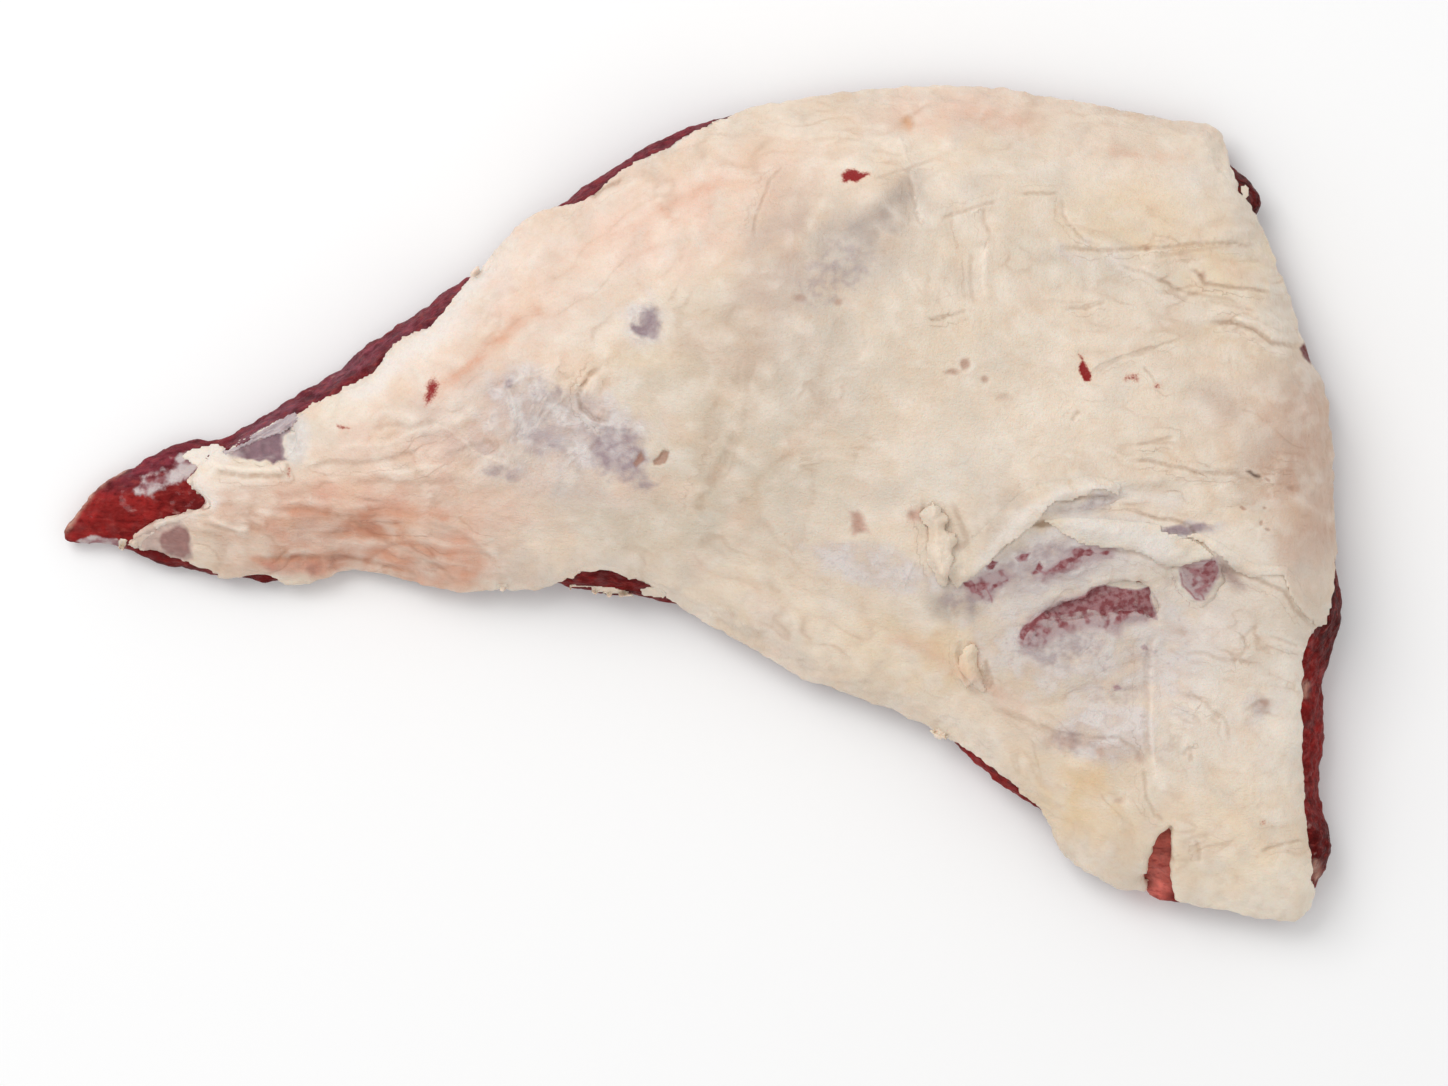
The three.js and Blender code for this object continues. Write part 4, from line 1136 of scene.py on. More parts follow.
FAT_FRAY = [(0.7, 5.5), (0.45, 2.2)]
FAT_NUDGES = [
    ("over the cut end", 150, -45, 16, 0.7, 0),
    ("over the cut end, lower", 151, -72, 14, 0.4, 0),
    ("over the strip of the shoulder", -6, 92, 9, -0.3, 0.5),
    ("left side of the slit", 111, -95, 5, 1, 0),
    ("end of the strip", -55, 59, 6, 1.2, -1.2),
    ("corner at the top right", 127, 92, 6, 1.3, 0.8),
    ("under the corner", 135, 79, 5, -1, -0.3),
]
RIM_REACH = 4

points = fray(points_of(fat_layer), near_rim(fat_layer, RIM_REACH), FAT_FRAY)
points = nudged(points, FAT_NUDGES)
print("frayed and nudged", len(points), "points")

# %% Carve the fat
GROOVE_DEPTH = 0.32
GROOVE_WIDTH = 1.9
BULGE_SHARE = 0.8
BULGE_PLACE = 3.2
BULGE_WIDTH = 1.6
STRAND_HEIGHT = 0.5
SPECK_DEPTH = 0.4
BLOOD_DEPTH = 0.3
HOLE_DEPTH = 0.9
ROUND_PIT_DEPTH = 0.5
WINDOW_DEPTH = 0.45
FILM_DEPTH = 0.35
STRIP_DEPTH = 1
SWOLLEN_RIM = 0.3


def along_creases(plan):
    """The same places, bent a little, so that creases and strands wander."""
    return bent(plan, 0.35, 3.0, 5)


def sunk_patch(plan, outline, depth):
    """A patch let into the skin, with a slightly swollen rim."""
    inside = depth_inside(plan, outline)
    return SWOLLEN_RIM * np.exp(-(((inside + 0.7) / 0.6) ** 2)) - depth * ramp(inside, -0.15, 0.35)


def carved_height(plan):
    """How far the skin of the fat is raised or lowered at each place."""
    across, strength = stroke_fields(along_creases(plan), CREASES)
    fold = BULGE_SHARE * np.exp(-(((across - BULGE_PLACE) / BULGE_WIDTH) ** 2))
    fold -= np.exp(-((across / GROOVE_WIDTH) ** 2))
    fold *= ramp(np.abs(across), STROKE_REACH, STROKE_REACH - 1.5)
    height = 0.45 * rough(plan, 11, 3, 7) + 0.14 * rough(plan, 3.2, 2, 9) + wrinkle_fields(plan)[0]
    height += GROOVE_DEPTH * strength * fold
    height += STRAND_HEIGHT * ridge_field(plan, STRANDS)
    height -= SPECK_DEPTH * blotch_field(plan, RUST, 0.8)
    height -= BLOOD_DEPTH * patch_field(plan, BLOOD_PATCHES)
    height -= HOLE_DEPTH * patch_field(plan, PIT_PATCHES)
    height -= ROUND_PIT_DEPTH * patch_field(plan, [ROUND_PIT])
    height += sunk_patch(plan, TAIL_WINDOW, WINDOW_DEPTH)
    height += sunk_patch(plan, TAIL_FILM, FILM_DEPTH)
    height -= STRIP_DEPTH * ramp(depth_inside(plan, BARE_STRIP), -0.3, 0.4)
    return height


upward = np.clip(normals_of(fat_layer), -1, 1)
visible = ramp(upward[:, 2], -0.1, 0.4)
lift = carved_height(seen_from_camera(points)) * visible
points += upward * lift[:, None]
move_points(fat_layer, points)
print("carved from", round(lift.min(), 2), "to", round(lift.max(), 2), "mm")

# %% [markdown]
# The lean
#
# Muscle is made the same way from its own solid. Its sides show bundles of fibres that run along the joint,
# and the tip of the tail is bare, so its relief is stretched along X.

# %% Fine copy and grain of the lean
fat_surface = surface_of(fat_layer)


def fat_surface_height(place):
    """How high the fat's skin is above a place, or a low number where there is none."""
    hit = fat_surface.ray_cast(Vector((place[0], place[1], 100)) * MM, Vector((0, 0, -1)))[0]
    return hit.z / MM if hit else -100


LEAN_VOXEL = 0.85
LEAN_UNDERSIDE_KEEP = 0.15
COVERED_DEPTH = 1.5
COVERED_KEEP = 0.1
FIBRE_STRETCH = (0.22, 1, 1)
LEAN_FRAY = [(0.5, 6), (0.3, 2.2)]
LEAN_NUDGES = [
    ("tip of the tail", -158, -9, 14, -2.2, 0),
    ("corner at the top right", 139, 76, 6, 1.3, 0.2),
    ("bulge low on the wall", 155, -87, 7, 1.3, 0),
    ("top of the wall", 158, -30, 7, 0.7, 0),
]

lean_meat = fine_copy("lean", "lean_meat", LEAN_VOXEL)
thin_out(lean_meat, normals_of(lean_meat)[:, 2] < -0.8, LEAN_UNDERSIDE_KEEP)
points = points_of(lean_meat)
depth_under_fat = np.array([fat_surface_height(place) for place in points.tolist()]) - points[:, 2]
thin_out(lean_meat, depth_under_fat > COVERED_DEPTH, COVERED_KEEP)
points = points_of(lean_meat)
points = fray(points, np.ones(len(points)), LEAN_FRAY)
points = nudged(points, LEAN_NUDGES)
upward = normals_of(lean_meat)
fibres = points * FIBRE_STRETCH
lift = 0.4 * rough(fibres, 2.6, 2, 60) + 0.3 * rough(points, 6, 2, 61)
lift *= ramp(points[:, 2], 0.4, 3)
move_points(lean_meat, points + upward * lift[:, None])
print("lean:", triangles_of(lean_meat), "triangles")

# %% [markdown]
# Marks on the lean
#
# The lean takes the same kinds of marks: blotches for its reds, strokes for its pale rims and outlines for
# the films on the tail.

# %% Marks on the lean
BRIGHT = [
    ("bright tip", -144.5, -2, 15, 7, 12, 1),
    ("low on the tip", -150.8, -6.5, 8.5, 2, 0, 0.7),
    ("near the fat", -129.5, 3, 5.5, 4, 0, 0.8),
    ("heel strip", 70.5, -66.5, 11.25, 2, -38, 0.6),
    ("slit", 114.2, -91, 2, 8.5, 0, 1),
]
PLUM = [
    ("top of the tail", -135.8, 11, 15, 3.5, 28, 0.9),
    ("upper strip", -100.8, 28, 23.75, 5, 31, 1),
    ("upper strip end", -68.2, 48, 17.5, 4.5, 38, 1),
    ("shoulder strip", -15.8, 86, 27.5, 3.5, 27, 0.9),
]
WINE = [
    ("cut end", 152.8, -59, 5.5, 37.5, 0, 1),
    ("under the torn flap", 155.5, -34, 5.5, 10, -10, 1),
    ("corner", 135.8, 78.5, 4, 6.5, -20, 0.8),
    ("nick", -23.2, -20.2, 15, 3, -6, 0.6),
    ("nick by the tail", -109.5, -19, 5.5, 1.5, -12, 1),
    ("slit under the tail", -131.2, -14.8, 8.5, 1.75, -25, 1),
    # Painted shadow on the lean beside the edge of the fat.
    ("painted shadow by the edge of the fat", -131, 3, 6, 5, 0, 0.7),
]
MAUVE = [
    ("window under the strap", -110.2, 14.5, 9.5, 4.25, 20, 1),
    ("middle of the upper strip", -110.2, 20, 10, 1.5, 33, 0.5),
    ("middle of the upper strip", -85.8, 35.5, 15, 1.75, 36, 0.4),
]
RIM = [
    ("pale rim of the tip", 0.75, 1, [
        (-160.2, -8.5), (-157.8, -4), (-154.5, 1), (-151.2, 5), (-148.2, 7), (-145.2, 8.5), (-142.2, 10.8),
    ]),
    ("tan rim of the cut end", 1, 0.7, [(150.8, -44), (150.2, -46.5), (150.8, -49)]),
    ("tan rim lower down", 1, 0.7, [(153, -88.5), (153.5, -94.5)]),
]
# The meat in the slit is pink, and it is painted lighter still as painted light, to make up for the shade at
# the bottom of the cut.
PINK = [
    ("inside the slit", 114.5, -88, 5, 13, -12, 0.85),
    ("low in the slit", 111.5, -95, 4, 5, 0, 0.8),
]
WALL = [
    ("wall of the cut end", 152, -64, 7, 36, 4, 1),
    ("wall under the heel", 156, -84, 6, 18, 0, 1),
]
DARK_RED = [
    ("corner at the top right", 137, 76, 5, 9, 0, 1),
    ("top of the wall", 157, -29, 4, 10, 0, 0.9),
    ("bulge low on the wall", 155, -86, 4, 9, 0, 0.8),
]
TAIL_FASCIA = [
    (-124.2, 10.5), (-128.8, 6), (-139.2, 2.2), (-142.5, 2.5), (-143.2, 4), (-141.5, 5), (-140.2, 6.5),
    (-135.2, 8.2), (-132.8, 9.5), (-132.8, 11.5), (-130.8, 12.2), (-127.8, 11.8),
]
LOW_TAIL_FILM = [
    (-157.2, -8.8), (-151.2, -7.8), (-144.8, -9.2), (-144, -11), (-147.8, -10.8), (-151.8, -10),
    (-155.8, -9.8),
]
print(len(BRIGHT) + len(PLUM) + len(WINE) + len(MAUVE), "blotches on the lean")

# %% [markdown]
# Torn sheets and scraps
#
# Loose things lie on the joint as pieces of their own: the rolled lip of the torn fat, the sheets beside it,
# two shreds, a strap of sinew over the window at the tail, and small scraps of fat. Each starts as a flat
# grid, is trimmed to its outline, dropped on what lies under it, lifted at its free edge, given a thickness
# and rounded.

# %% Outlines of the torn sheets
LIP_FREE = [
    (61.8, -19.8), (63.5, -21.5), (65, -19.8), (70.2, -16.5), (74.2, -12), (77, -10.2), (83.5, -4.8),
    (86.2, -1), (87.8, 0.2), (93.5, 1), (96.2, 2.2), (98.8, 3.8), (101.2, 3.2), (103.8, 1.8),
]
LIP_SUNK = [(58.8, -14.5), (62.2, -12), (74.2, 1), (77.8, 4), (82.2, 6), (92.8, 8), (98.2, 8), (104.8, 5.5)]
MIDDLE_FREE = [
    (85.8, -4.8), (92.2, -9), (95.5, -10.5), (98.8, -11), (104.2, -11.2), (107.5, -12), (110.5, -13),
    (113, -14.8), (115.8, -16), (119.2, -16), (125.2, -14.8), (127.8, -13.2), (125.5, -10.8), (123.2, -9.2),
    (114.5, -6.5),
]
MIDDLE_SUNK = [(85.2, -3.8), (90.5, -2.2), (96.8, -1.5), (104.2, -1.8), (110.5, -3), (115.2, -5.2)]
RIGHT_FREE = [
    (120.8, -8.2), (123.5, -9.2), (130.8, -14.8), (132.8, -17.2), (137.8, -18.8), (139.8, -18.2),
    (142.2, -18), (145, -18.2), (146.2, -20.5), (146.8, -23.5), (150, -27.8), (152, -29.5), (152.8, -31),
    (155.8, -30.5), (157, -27.5),
]
RIGHT_SUNK = [
    (124.2, -6.5), (129.2, -8.5), (138, -14), (141.8, -14.5), (146, -14.5), (149.2, -17.8), (151.2, -22),
    (153.8, -24.5), (157.5, -24),
]
print(len(LIP_FREE), "points along the lip")

# %% Outlines of the shreds and strands
LONG_SHRED = [
    (54.2, -1.5), (57.5, 0.5), (59.2, -0.2), (60, -2), (61.5, -3), (61.8, -4.5), (60.5, -6), (61.5, -7),
    (63, -7), (64, -8.5), (63.5, -10.2), (62.2, -11.5), (63, -13.5), (61, -20.8), (59.8, -21.2),
    (58.8, -20.5), (56, -14.8), (55.5, -11.5), (56, -6.5), (54.8, -5), (54, -3.2),
]
SHORT_SHRED = [
    (63.8, -37.8), (65, -36), (66.8, -34.5), (68.2, -34.8), (69, -36.5), (68.5, -39), (70.2, -44.5),
    (71.2, -46.5), (70.2, -47.5), (68.2, -46.5), (63.8, -42), (63.5, -39.8),
]
STRAP = [
    (-120.2, 13.5), (-117.2, 14.5), (-109.2, 18), (-106.8, 19.2), (-102.2, 22.2), (-101.2, 21),
    (-102.5, 19.2), (-104.8, 18), (-113.5, 15), (-119.8, 12.2),
]
SECOND_STRAND = [
    (-113.5, 16.8), (-111.8, 18.2), (-102.2, 23.2), (-100.5, 22), (-105.2, 19.2), (-113.2, 15.5),
]
print(len(LONG_SHRED), "points round the long shred")

# %% Outlines of the ragged rims
TAIL_RIM_FREE = [
    (-119.2, 13.8), (-120.2, 15), (-122.2, 15.5), (-128, 13.8), (-129.8, 13), (-131, 12), (-127.5, 10),
    (-126.5, 8.8), (-128, 7.8), (-129.2, 6.5), (-129.2, 5), (-125.8, 1.8), (-123.2, 0.2), (-123, -0.8),
    (-124.2, -1.5), (-127.5, -0.8), (-129.2, -1.2), (-132.8, -3.2), (-135, -3.2), (-136.8, -4.2),
    (-137.8, -5.8), (-136.8, -6.8), (-142.5, -8.5), (-143, -9.5), (-142.5, -11), (-140.5, -11.8),
]
TAIL_RIM_SUNK = [
    (-117.8, 12.2), (-120.2, 13), (-122.2, 12.2), (-123.8, 10.5), (-125.8, 6.2), (-125, 4), (-120.8, 0.8),
    (-120.5, -1.8), (-122.8, -3.5), (-128.2, -3.8), (-130.2, -5), (-134.8, -6), (-138.8, -9), (-140, -10.5),
    (-139.2, -12),
]
UPPER_RIM_FREE = [
    (-102.5, 23), (-101, 24.5), (-99.2, 25), (-97.5, 26), (-95.8, 26.2), (-94, 25.2), (-92.5, 26.2),
    (-91.5, 28), (-90.2, 29.5), (-87.2, 31), (-85.5, 31.5), (-84.2, 32.5), (-82.8, 33), (-81.5, 34.2),
    (-79.8, 37.5), (-77, 40.8), (-75.5, 41.8), (-74, 42), (-73, 43.2), (-71.8, 43.8), (-70, 44),
    (-68.2, 44.8), (-67.5, 46), (-65, 48.2), (-64.2, 50), (-61.8, 52.8), (-60.8, 54.5), (-59.2, 56),
    (-57.2, 59.2), (-56.2, 60.2),
]
UPPER_RIM_SUNK = [
    (-101.8, 20), (-99.2, 21.8), (-96.2, 23), (-93.2, 22.5), (-90.2, 24.8), (-88.2, 27), (-82.2, 30),
    (-79.2, 32.5), (-77.5, 36), (-75.2, 38.5), (-69.2, 41.2), (-64, 45.8), (-55, 58),
]
print(len(TAIL_RIM_FREE), "points along the rim of the tail")

# %% Outlines of the scraps
SCRAPS = {
    "left_fat_scrap": [
        (-33.5, -20.2), (-22.8, -20.8), (-17.2, -22), (-17.2, -23.5), (-19.8, -23.2), (-21.8, -22.5),
        (-23.8, -23), (-25.8, -22.2), (-27.8, -22.2), (-28.2, -21.2), (-33.2, -21),
    ],
    "right_fat_scrap": [
        (-15.8, -21.5), (-13.2, -20.5), (-10.8, -21), (-8.8, -22.5), (-10, -23.8), (-15, -23),
    ],
    "left_tag": [(-52, -19.8), (-48.8, -20), (-49, -21.2), (-50, -22.5), (-51, -21.8)],
    "heel_tag": [(56.2, -56.5), (58.2, -56), (60.8, -57.2), (61.2, -58.8), (59.2, -59), (57.5, -58.2)],
    "corner_scrap": [(134.5, 79.5), (135.8, 80), (136.8, 79), (136.8, 77.5), (135.8, 76.2), (134.8, 77)],
    "tail_scrap_a": [
        (-146, -9.2), (-144.8, -8.5), (-143.8, -9.2), (-144, -10.5), (-145.2, -11.2), (-146.2, -10.5),
    ],
    "tail_scrap_b": [
        (-143.2, -9.5), (-142.2, -8.5), (-141, -9), (-141, -10.8), (-142.2, -11.5), (-143.2, -10.8),
    ],
    "tail_scrap_c": [(-125, -0.2), (-124, 0.8), (-123, 0.2), (-123, -0.8), (-124, -1.2), (-125, -1)],
}
print(len(SCRAPS), "scraps")

# %% Drop places on the joint
def drop_on(plan, surfaces):
    """The places in space that the camera sees at plan places, on the highest of the surfaces."""
    eye = Vector((*AIM, CAMERA_HEIGHT)) * MM
    placed = []
    for x, y in plan + MARKS_ZERO:
        sight = (Vector((x, y, OUTLINE_HEIGHT)) * MM - eye).normalized()
        hits = [surface.ray_cast(eye, sight) for surface in surfaces]
        hits = [(hit[3], hit[0]) for hit in hits if hit[0] is not None]
        ground = eye + sight * (eye.z - OUTLINE_HEIGHT * MM) / -sight.z
        placed.append(min(hits)[1] if hits else ground)
    return np.array(placed) / MM


lean_surface = surface_of(lean_meat)
both = [fat_surface, lean_surface]
print("the middle of the top is at", drop_on(np.array([(0, 0)]), both).round(1))

# %% Flat grids
def trimmed_grid(name, outline, margin, step, keep):
    """A flat grid over an outline's box, without the points that keep rejects, and the places of the rest."""
    low, high = np.min(outline, axis=0) - margin, np.max(outline, axis=0) + margin
    wide, deep = high - low
    bpy.ops.mesh.primitive_grid_add(
        x_subdivisions=math.ceil(wide / step), y_subdivisions=math.ceil(deep / step), size=1
    )
    piece = bpy.context.active_object
    piece.name = piece.data.name = name
    plan = points_of(piece)[:, :2] * MM * (wide, deep) + (low + high) / 2
    kept = keep(plan)
    mesh = piece.data
    mesh.polygons.foreach_set("select", np.zeros(len(mesh.polygons), bool))
    mesh.edges.foreach_set("select", np.zeros(len(mesh.edges), bool))
    mesh.vertices.foreach_set("select", ~kept)
    bpy.context.tool_settings.mesh_select_mode = (True, False, False)
    bpy.ops.object.mode_set(mode="EDIT")
    bpy.ops.mesh.delete(type="VERT")
    bpy.ops.object.mode_set(mode="OBJECT")
    return piece, plan[kept]


def thicken(piece, thickness):
    """Gives a flat piece its thickness, downwards, and rounds it."""
    apply_modifier(piece, "SOLIDIFY", thickness=thickness * MM, offset=-1)
    apply_modifier(piece, "SUBSURF", levels=1, render_levels=1)
    print(piece.name, triangles_of(piece), "triangles")
    return piece


# %% Lay a sheet
SUNK_DEPTH = 0.7
RAGGED = 0.35
DOME_REACH = 1.2


def lay_sheet(name, outline, surfaces, lift, thickness, dome=0, sunk=None, step=0.6, rough_by=0.3):
    """A thin piece of this outline. Where it has a sunk edge it comes up out of the surface from there."""
    closed = outline + (sunk[::-1] if sunk else [])

    def inside(plan):
        return depth_inside(bent(plan, RAGGED, 1.8, 69), closed) > -0.35 * step

    piece, plan = trimmed_grid(name, closed, 1, step, inside)
    deepness = np.maximum(depth_inside(plan, closed), 0)
    placed = drop_on(plan, surfaces)
    rise = lift + dome * (1 - np.exp(-deepness / DOME_REACH))
    rise += rough_by * rough(plan, 2.4, 2, 71) + 0.4 * rough_by * rough(plan, 1, 1, 72)
    if sunk:
        to_free = np.abs(nearest_on_path(plan, outline)[0])
        to_sunk = np.abs(nearest_on_path(plan, sunk)[0])
        share = to_sunk / (to_free + to_sunk + 1e-6)
        rise = rise * ramp(share, 0, 0.75) - SUNK_DEPTH * ramp(share, 0.3, 0)
    placed[:, 2] += rise
    move_points(piece, placed)
    return thicken(piece, thickness)


# %% Stretch a membrane
FLOOR_REACH = 2.4
LEVEL_LIFT = 0.35
RIM_AWAY = 1.6
CLEARANCE = 0.15
FAR_AWAY = 50.0
MEMBRANE = 0.5


def stretch_floor(name, outline, depth, crisp_share, reach=FLOOR_REACH, step=0.45):
    """A membrane across a hole, deep at the first, crisp share of its outline and level at the rest."""
    closed = outline + outline[:1]
    corners = np.array(outline, float)
    heading = np.roll(corners, -1, axis=0) - np.roll(corners, 1, axis=0)
    outward = np.column_stack((-heading[:, 1], heading[:, 0])) / np.hypot(*heading.T)[:, None]
    rim = corners + RIM_AWAY * outward
    rim_heights = drop_on(rim, [fat_surface])[:, 2]

    def inside(plan):
        return depth_inside(plan, outline) > -reach

    piece, plan = trimmed_grid(name, outline, reach + 1, step, inside)
    weights = 1 / (((plan[:, None] - rim[None]) ** 2).sum(axis=2) + 0.3)
    height = (weights * rim_heights).sum(axis=1) / weights.sum(axis=1)
    crisp = closed[: round(crisp_share * len(closed)) + 1]
    level = closed[round(crisp_share * len(closed)) :]
    to_crisp = np.abs(nearest_on_path(plan, crisp)[0])
    to_level = np.full(len(plan), FAR_AWAY)
    if crisp_share < 1:
        to_level = np.abs(nearest_on_path(plan, level)[0])
    beyond = np.maximum(-depth_inside(plan, outline), 0)
    height += LEVEL_LIFT - (depth + LEVEL_LIFT) * ramp(to_crisp / (to_crisp + to_level + 1e-6), 0.75, 0.3)
    height -= 1.2 * ramp(beyond, 0.25 * reach, reach) + 0.1 * rough(plan, 2, 2, 75)
    height = np.maximum(height, drop_on(plan, [lean_surface])[:, 2] + CLEARANCE)
    on_fat = drop_on(plan, [fat_surface])[:, 2] + CLEARANCE
    height = np.where(to_level < 1.4, np.maximum(height, on_fat), height)
    move_points(piece, place_at(plan, height))
    return thicken(piece, MEMBRANE)


# %% Lay the membranes, sheets, shreds and scraps
TEAR_CRISP = 0.5

floors = [
    stretch_floor("tear_membrane", TEAR, 0.55, TEAR_CRISP),
    stretch_floor("small_tear_membrane", SMALL_TEAR, 0.4, 1),
    stretch_floor("window_membrane", WINDOW_FLOOR, 0.4, 1, reach=0.8),
]
sheets = [
    lay_sheet("middle_sheet", MIDDLE_FREE, both, 0.6, 0.6, sunk=MIDDLE_SUNK),
    lay_sheet("right_sheet", RIGHT_FREE, both, 0.7, 0.7, sunk=RIGHT_SUNK),
    lay_sheet("torn_lip", LIP_FREE, both, 1.1, 0.6, sunk=LIP_SUNK),
    lay_sheet("tail_rim", TAIL_RIM_FREE, both, 0.3, 1.3, sunk=TAIL_RIM_SUNK),
    lay_sheet("upper_rim", UPPER_RIM_FREE, both, 0.25, 1.0, sunk=UPPER_RIM_SUNK),
]
shreds = [
    lay_sheet("long_shred", LONG_SHRED, both, 0.9, 0.9, dome=2.0, step=0.45, rough_by=0.5),
    lay_sheet("short_shred", SHORT_SHRED, both, 0.5, 0.9, dome=1.5, step=0.45, rough_by=0.3),
]
under_strip = both + [surface_of(floors[2])]
bare_strip = lay_sheet("bare_strip", BARE_STRIP, under_strip, 0.45, 1.0, dome=0.4, step=0.4, rough_by=0.1)
under_straps = under_strip + [surface_of(bare_strip)]
straps = [
    lay_sheet("sinew_strap", STRAP, under_straps, 0.4, 0.7, dome=0.4, step=0.4, rough_by=0.08),
    lay_sheet("sinew_strand", SECOND_STRAND, under_straps, 0.3, 0.6, dome=0.3, step=0.35, rough_by=0.08),
]
scraps = [
    lay_sheet(name, outline, both, 0.25, 0.8, dome=0.7, step=0.35) for name, outline in SCRAPS.items()
]

# %% [markdown]
# Colouring the pieces
#
# Colours are given as on a paint card, from 0 to 255, and mixed in linear light. The broad ones are painted
# on the points of each piece. Fields with a crisp edge, such as blood or a tear, are kept as numbers, and the
# material draws their edges later, finer than the mesh.

# %% Paint cards
def card(red, green, blue):
    """A paint card's colour in linear light."""
    shares = np.array((red, green, blue)) / 255
    return np.where(shares <= 0.04045, shares / 12.92, ((shares + 0.055) / 1.055) ** 2.4)


CREAM = card(233, 218, 200)
DEEP_CREAM = card(222, 206, 187)
TINTS = [
    (11, 0.35, card(206, 196, 184)),
    (7, 0.25, card(226, 196, 164)),
    (5, 0.4, card(238, 227, 214)),
    (3, 0.2, card(204, 180, 158)),
]
PINKISH = card(232, 201, 182)
PINK_SIZE = 13
FAT_COLOURS = [
    (OLIVE, card(207, 194, 176), 0.6),
    (BLUSH, card(224, 172, 149), 0.7),
    (BUTTER, card(226, 199, 160), 0.6),
    (DUSKY, card(196, 168, 150), 0.6),
    (CHALK, card(231, 222, 211), 0.6),
]
STREAK = card(212, 150, 118)
# Painted shade for the valleys between wrinkles, and painted highlight for the tops of wrinkles and strands.
PAINTED_VALLEY_SHADE = np.array((0.88, 0.76, 0.68))
PAINTED_RIDGE_HIGHLIGHT = card(240, 227, 212)
BLUISH_WHITE = card(231, 222, 214)


print("cream in linear light:", CREAM.round(3))

# %% Paint the fat
def write_field(piece, name, values):
    """Keeps a number or a colour at each point of a piece, for its material."""
    kind = "FLOAT" if values.ndim == 1 else "FLOAT_COLOR"
    layer = piece.data.attributes.new(name, kind, "POINT")
    if kind == "FLOAT":
        layer.data.foreach_set("value", values.astype(np.float32))
    else:
        rgba = np.column_stack((values, np.ones(len(values)))) if values.shape[1] == 3 else values
        layer.data.foreach_set("color", rgba.astype(np.float32).ravel())


def mixed_in(paint, colour, share):
    """The paint with this share of a colour in it at each place."""
    return paint + share[:, None] * (colour - paint)


def along_edges(plan):
    """The same places, bent a little, so that the edges of patches fray."""
    return bent(plan, 0.3, 1.6, 95)


def fat_paint(plan, patched):
    """The colours of the fat at each place, with or without the painted patches. Ridges and strands get
    painted highlight, and the valleys between wrinkles painted shade.
    """
    paint = mixed_in(np.tile(CREAM, (len(plan), 1)), DEEP_CREAM, ramp(rough(plan, 24, 3, 80), -0.6, 0.6))
    wandering = bent(plan, 2.5, 12, 81)
    for i, (marks, colour, soft) in enumerate(FAT_COLOURS):
        patchy = 0.85 + 0.5 * rough(plan, 7, 3, 83 + i)
        paint = mixed_in(paint, colour, np.clip(blotch_field(wandering, marks, soft) * patchy, 0, 1))
    for i, (*mark, colour) in enumerate(WASHES):
        patchy = 0.8 + 0.5 * rough(plan, 6, 3, 160 + i)
        paint = mixed_in(paint, card(*colour), np.clip(blotch_field(wandering, [mark], 0.7) * patchy, 0, 1))
    for i, (size, strength, tint) in enumerate(TINTS):
        paint = mixed_in(paint, tint, strength * ramp(rough(wandering, size, 3, 130 + i), -0.1, 0.7))
    pinkish = ramp(rough(wandering, PINK_SIZE, 3, 129), 0, 0.7) * ramp(plan[:, 0], 60, -20)
    paint = mixed_in(paint, PINKISH, 0.4 * pinkish)
    frayed = bent(plan, 1.2, 4, 90)
    streaky = 0.75 + 0.6 * rough(plan, 3, 3, 92)
    paint = mixed_in(paint, STREAK, np.clip(ridge_field(frayed, WARM_STREAKS) * streaky, 0, 1))
    raised, wave, strength = wrinkle_fields(plan)
    # Painted highlight on the crests of the wrinkles, and painted shade in the valleys between them.
    paint = mixed_in(paint, PAINTED_RIDGE_HIGHLIGHT, 0.55 * ramp(raised, 0.1, 0.9))
    valley_shade = 0.55 * strength * np.exp(-((wave / 0.14) ** 2))
    paint = paint * (1 - np.clip(valley_shade, 0, 1)[:, None] * (1 - PAINTED_VALLEY_SHADE))
    # Pale rims, with painted highlight along the lip and the edges of the torn sheets.
    paint = mixed_in(paint, BLUISH_WHITE, ridge_field(frayed, PALE_RIMS_AND_EDGE_HIGHLIGHTS))
    # Painted highlight along the raised strands.
    paint = mixed_in(paint, PAINTED_RIDGE_HIGHLIGHT, 0.7 * ridge_field(along_creases(plan), STRANDS))
    if patched:
        edges = along_edges(plan)
        shade = (1 + 0.25 * rough(plan, 1.6, 2, 140))[:, None]
        for *patch, colour in PAINTED_PATCHES:
            paint = mixed_in(paint, card(*colour) * shade, patch_field(edges, [patch]))
    return paint


# %% Ways of the wisps
WISP_TURNS = (-3, 38, 78, -32)
WISPY = {"tail": 0.55, "end of the tail": 0.3, "root of the tail": 0.6, "thin patch": 0.6, "shoulder": 0.3}
HARDLY_WISPY = 0.2


def wisp_shares(plan):
    """How strongly the fibres of the fat show, along each of four directions."""
    shares = np.zeros((len(plan), len(WISP_TURNS)))
    total = np.full(len(plan), 0.2)
    for name, x, y, rx, ry, turn, _, _ in WRINKLES:
        nearest = int(np.argmin([abs((turn - other + 90) % 180 - 90) for other in WISP_TURNS]))
        here = ramp(ellipse_distance(plan, (name, x, y, rx, ry, turn, 1)), 1.8, 0.6)
        shares[:, nearest] += WISPY.get(name, HARDLY_WISPY) * here
        total += here
    return shares / total[:, None]


# %% Colours and fields of the fat
WAVE_LINE = 0.05


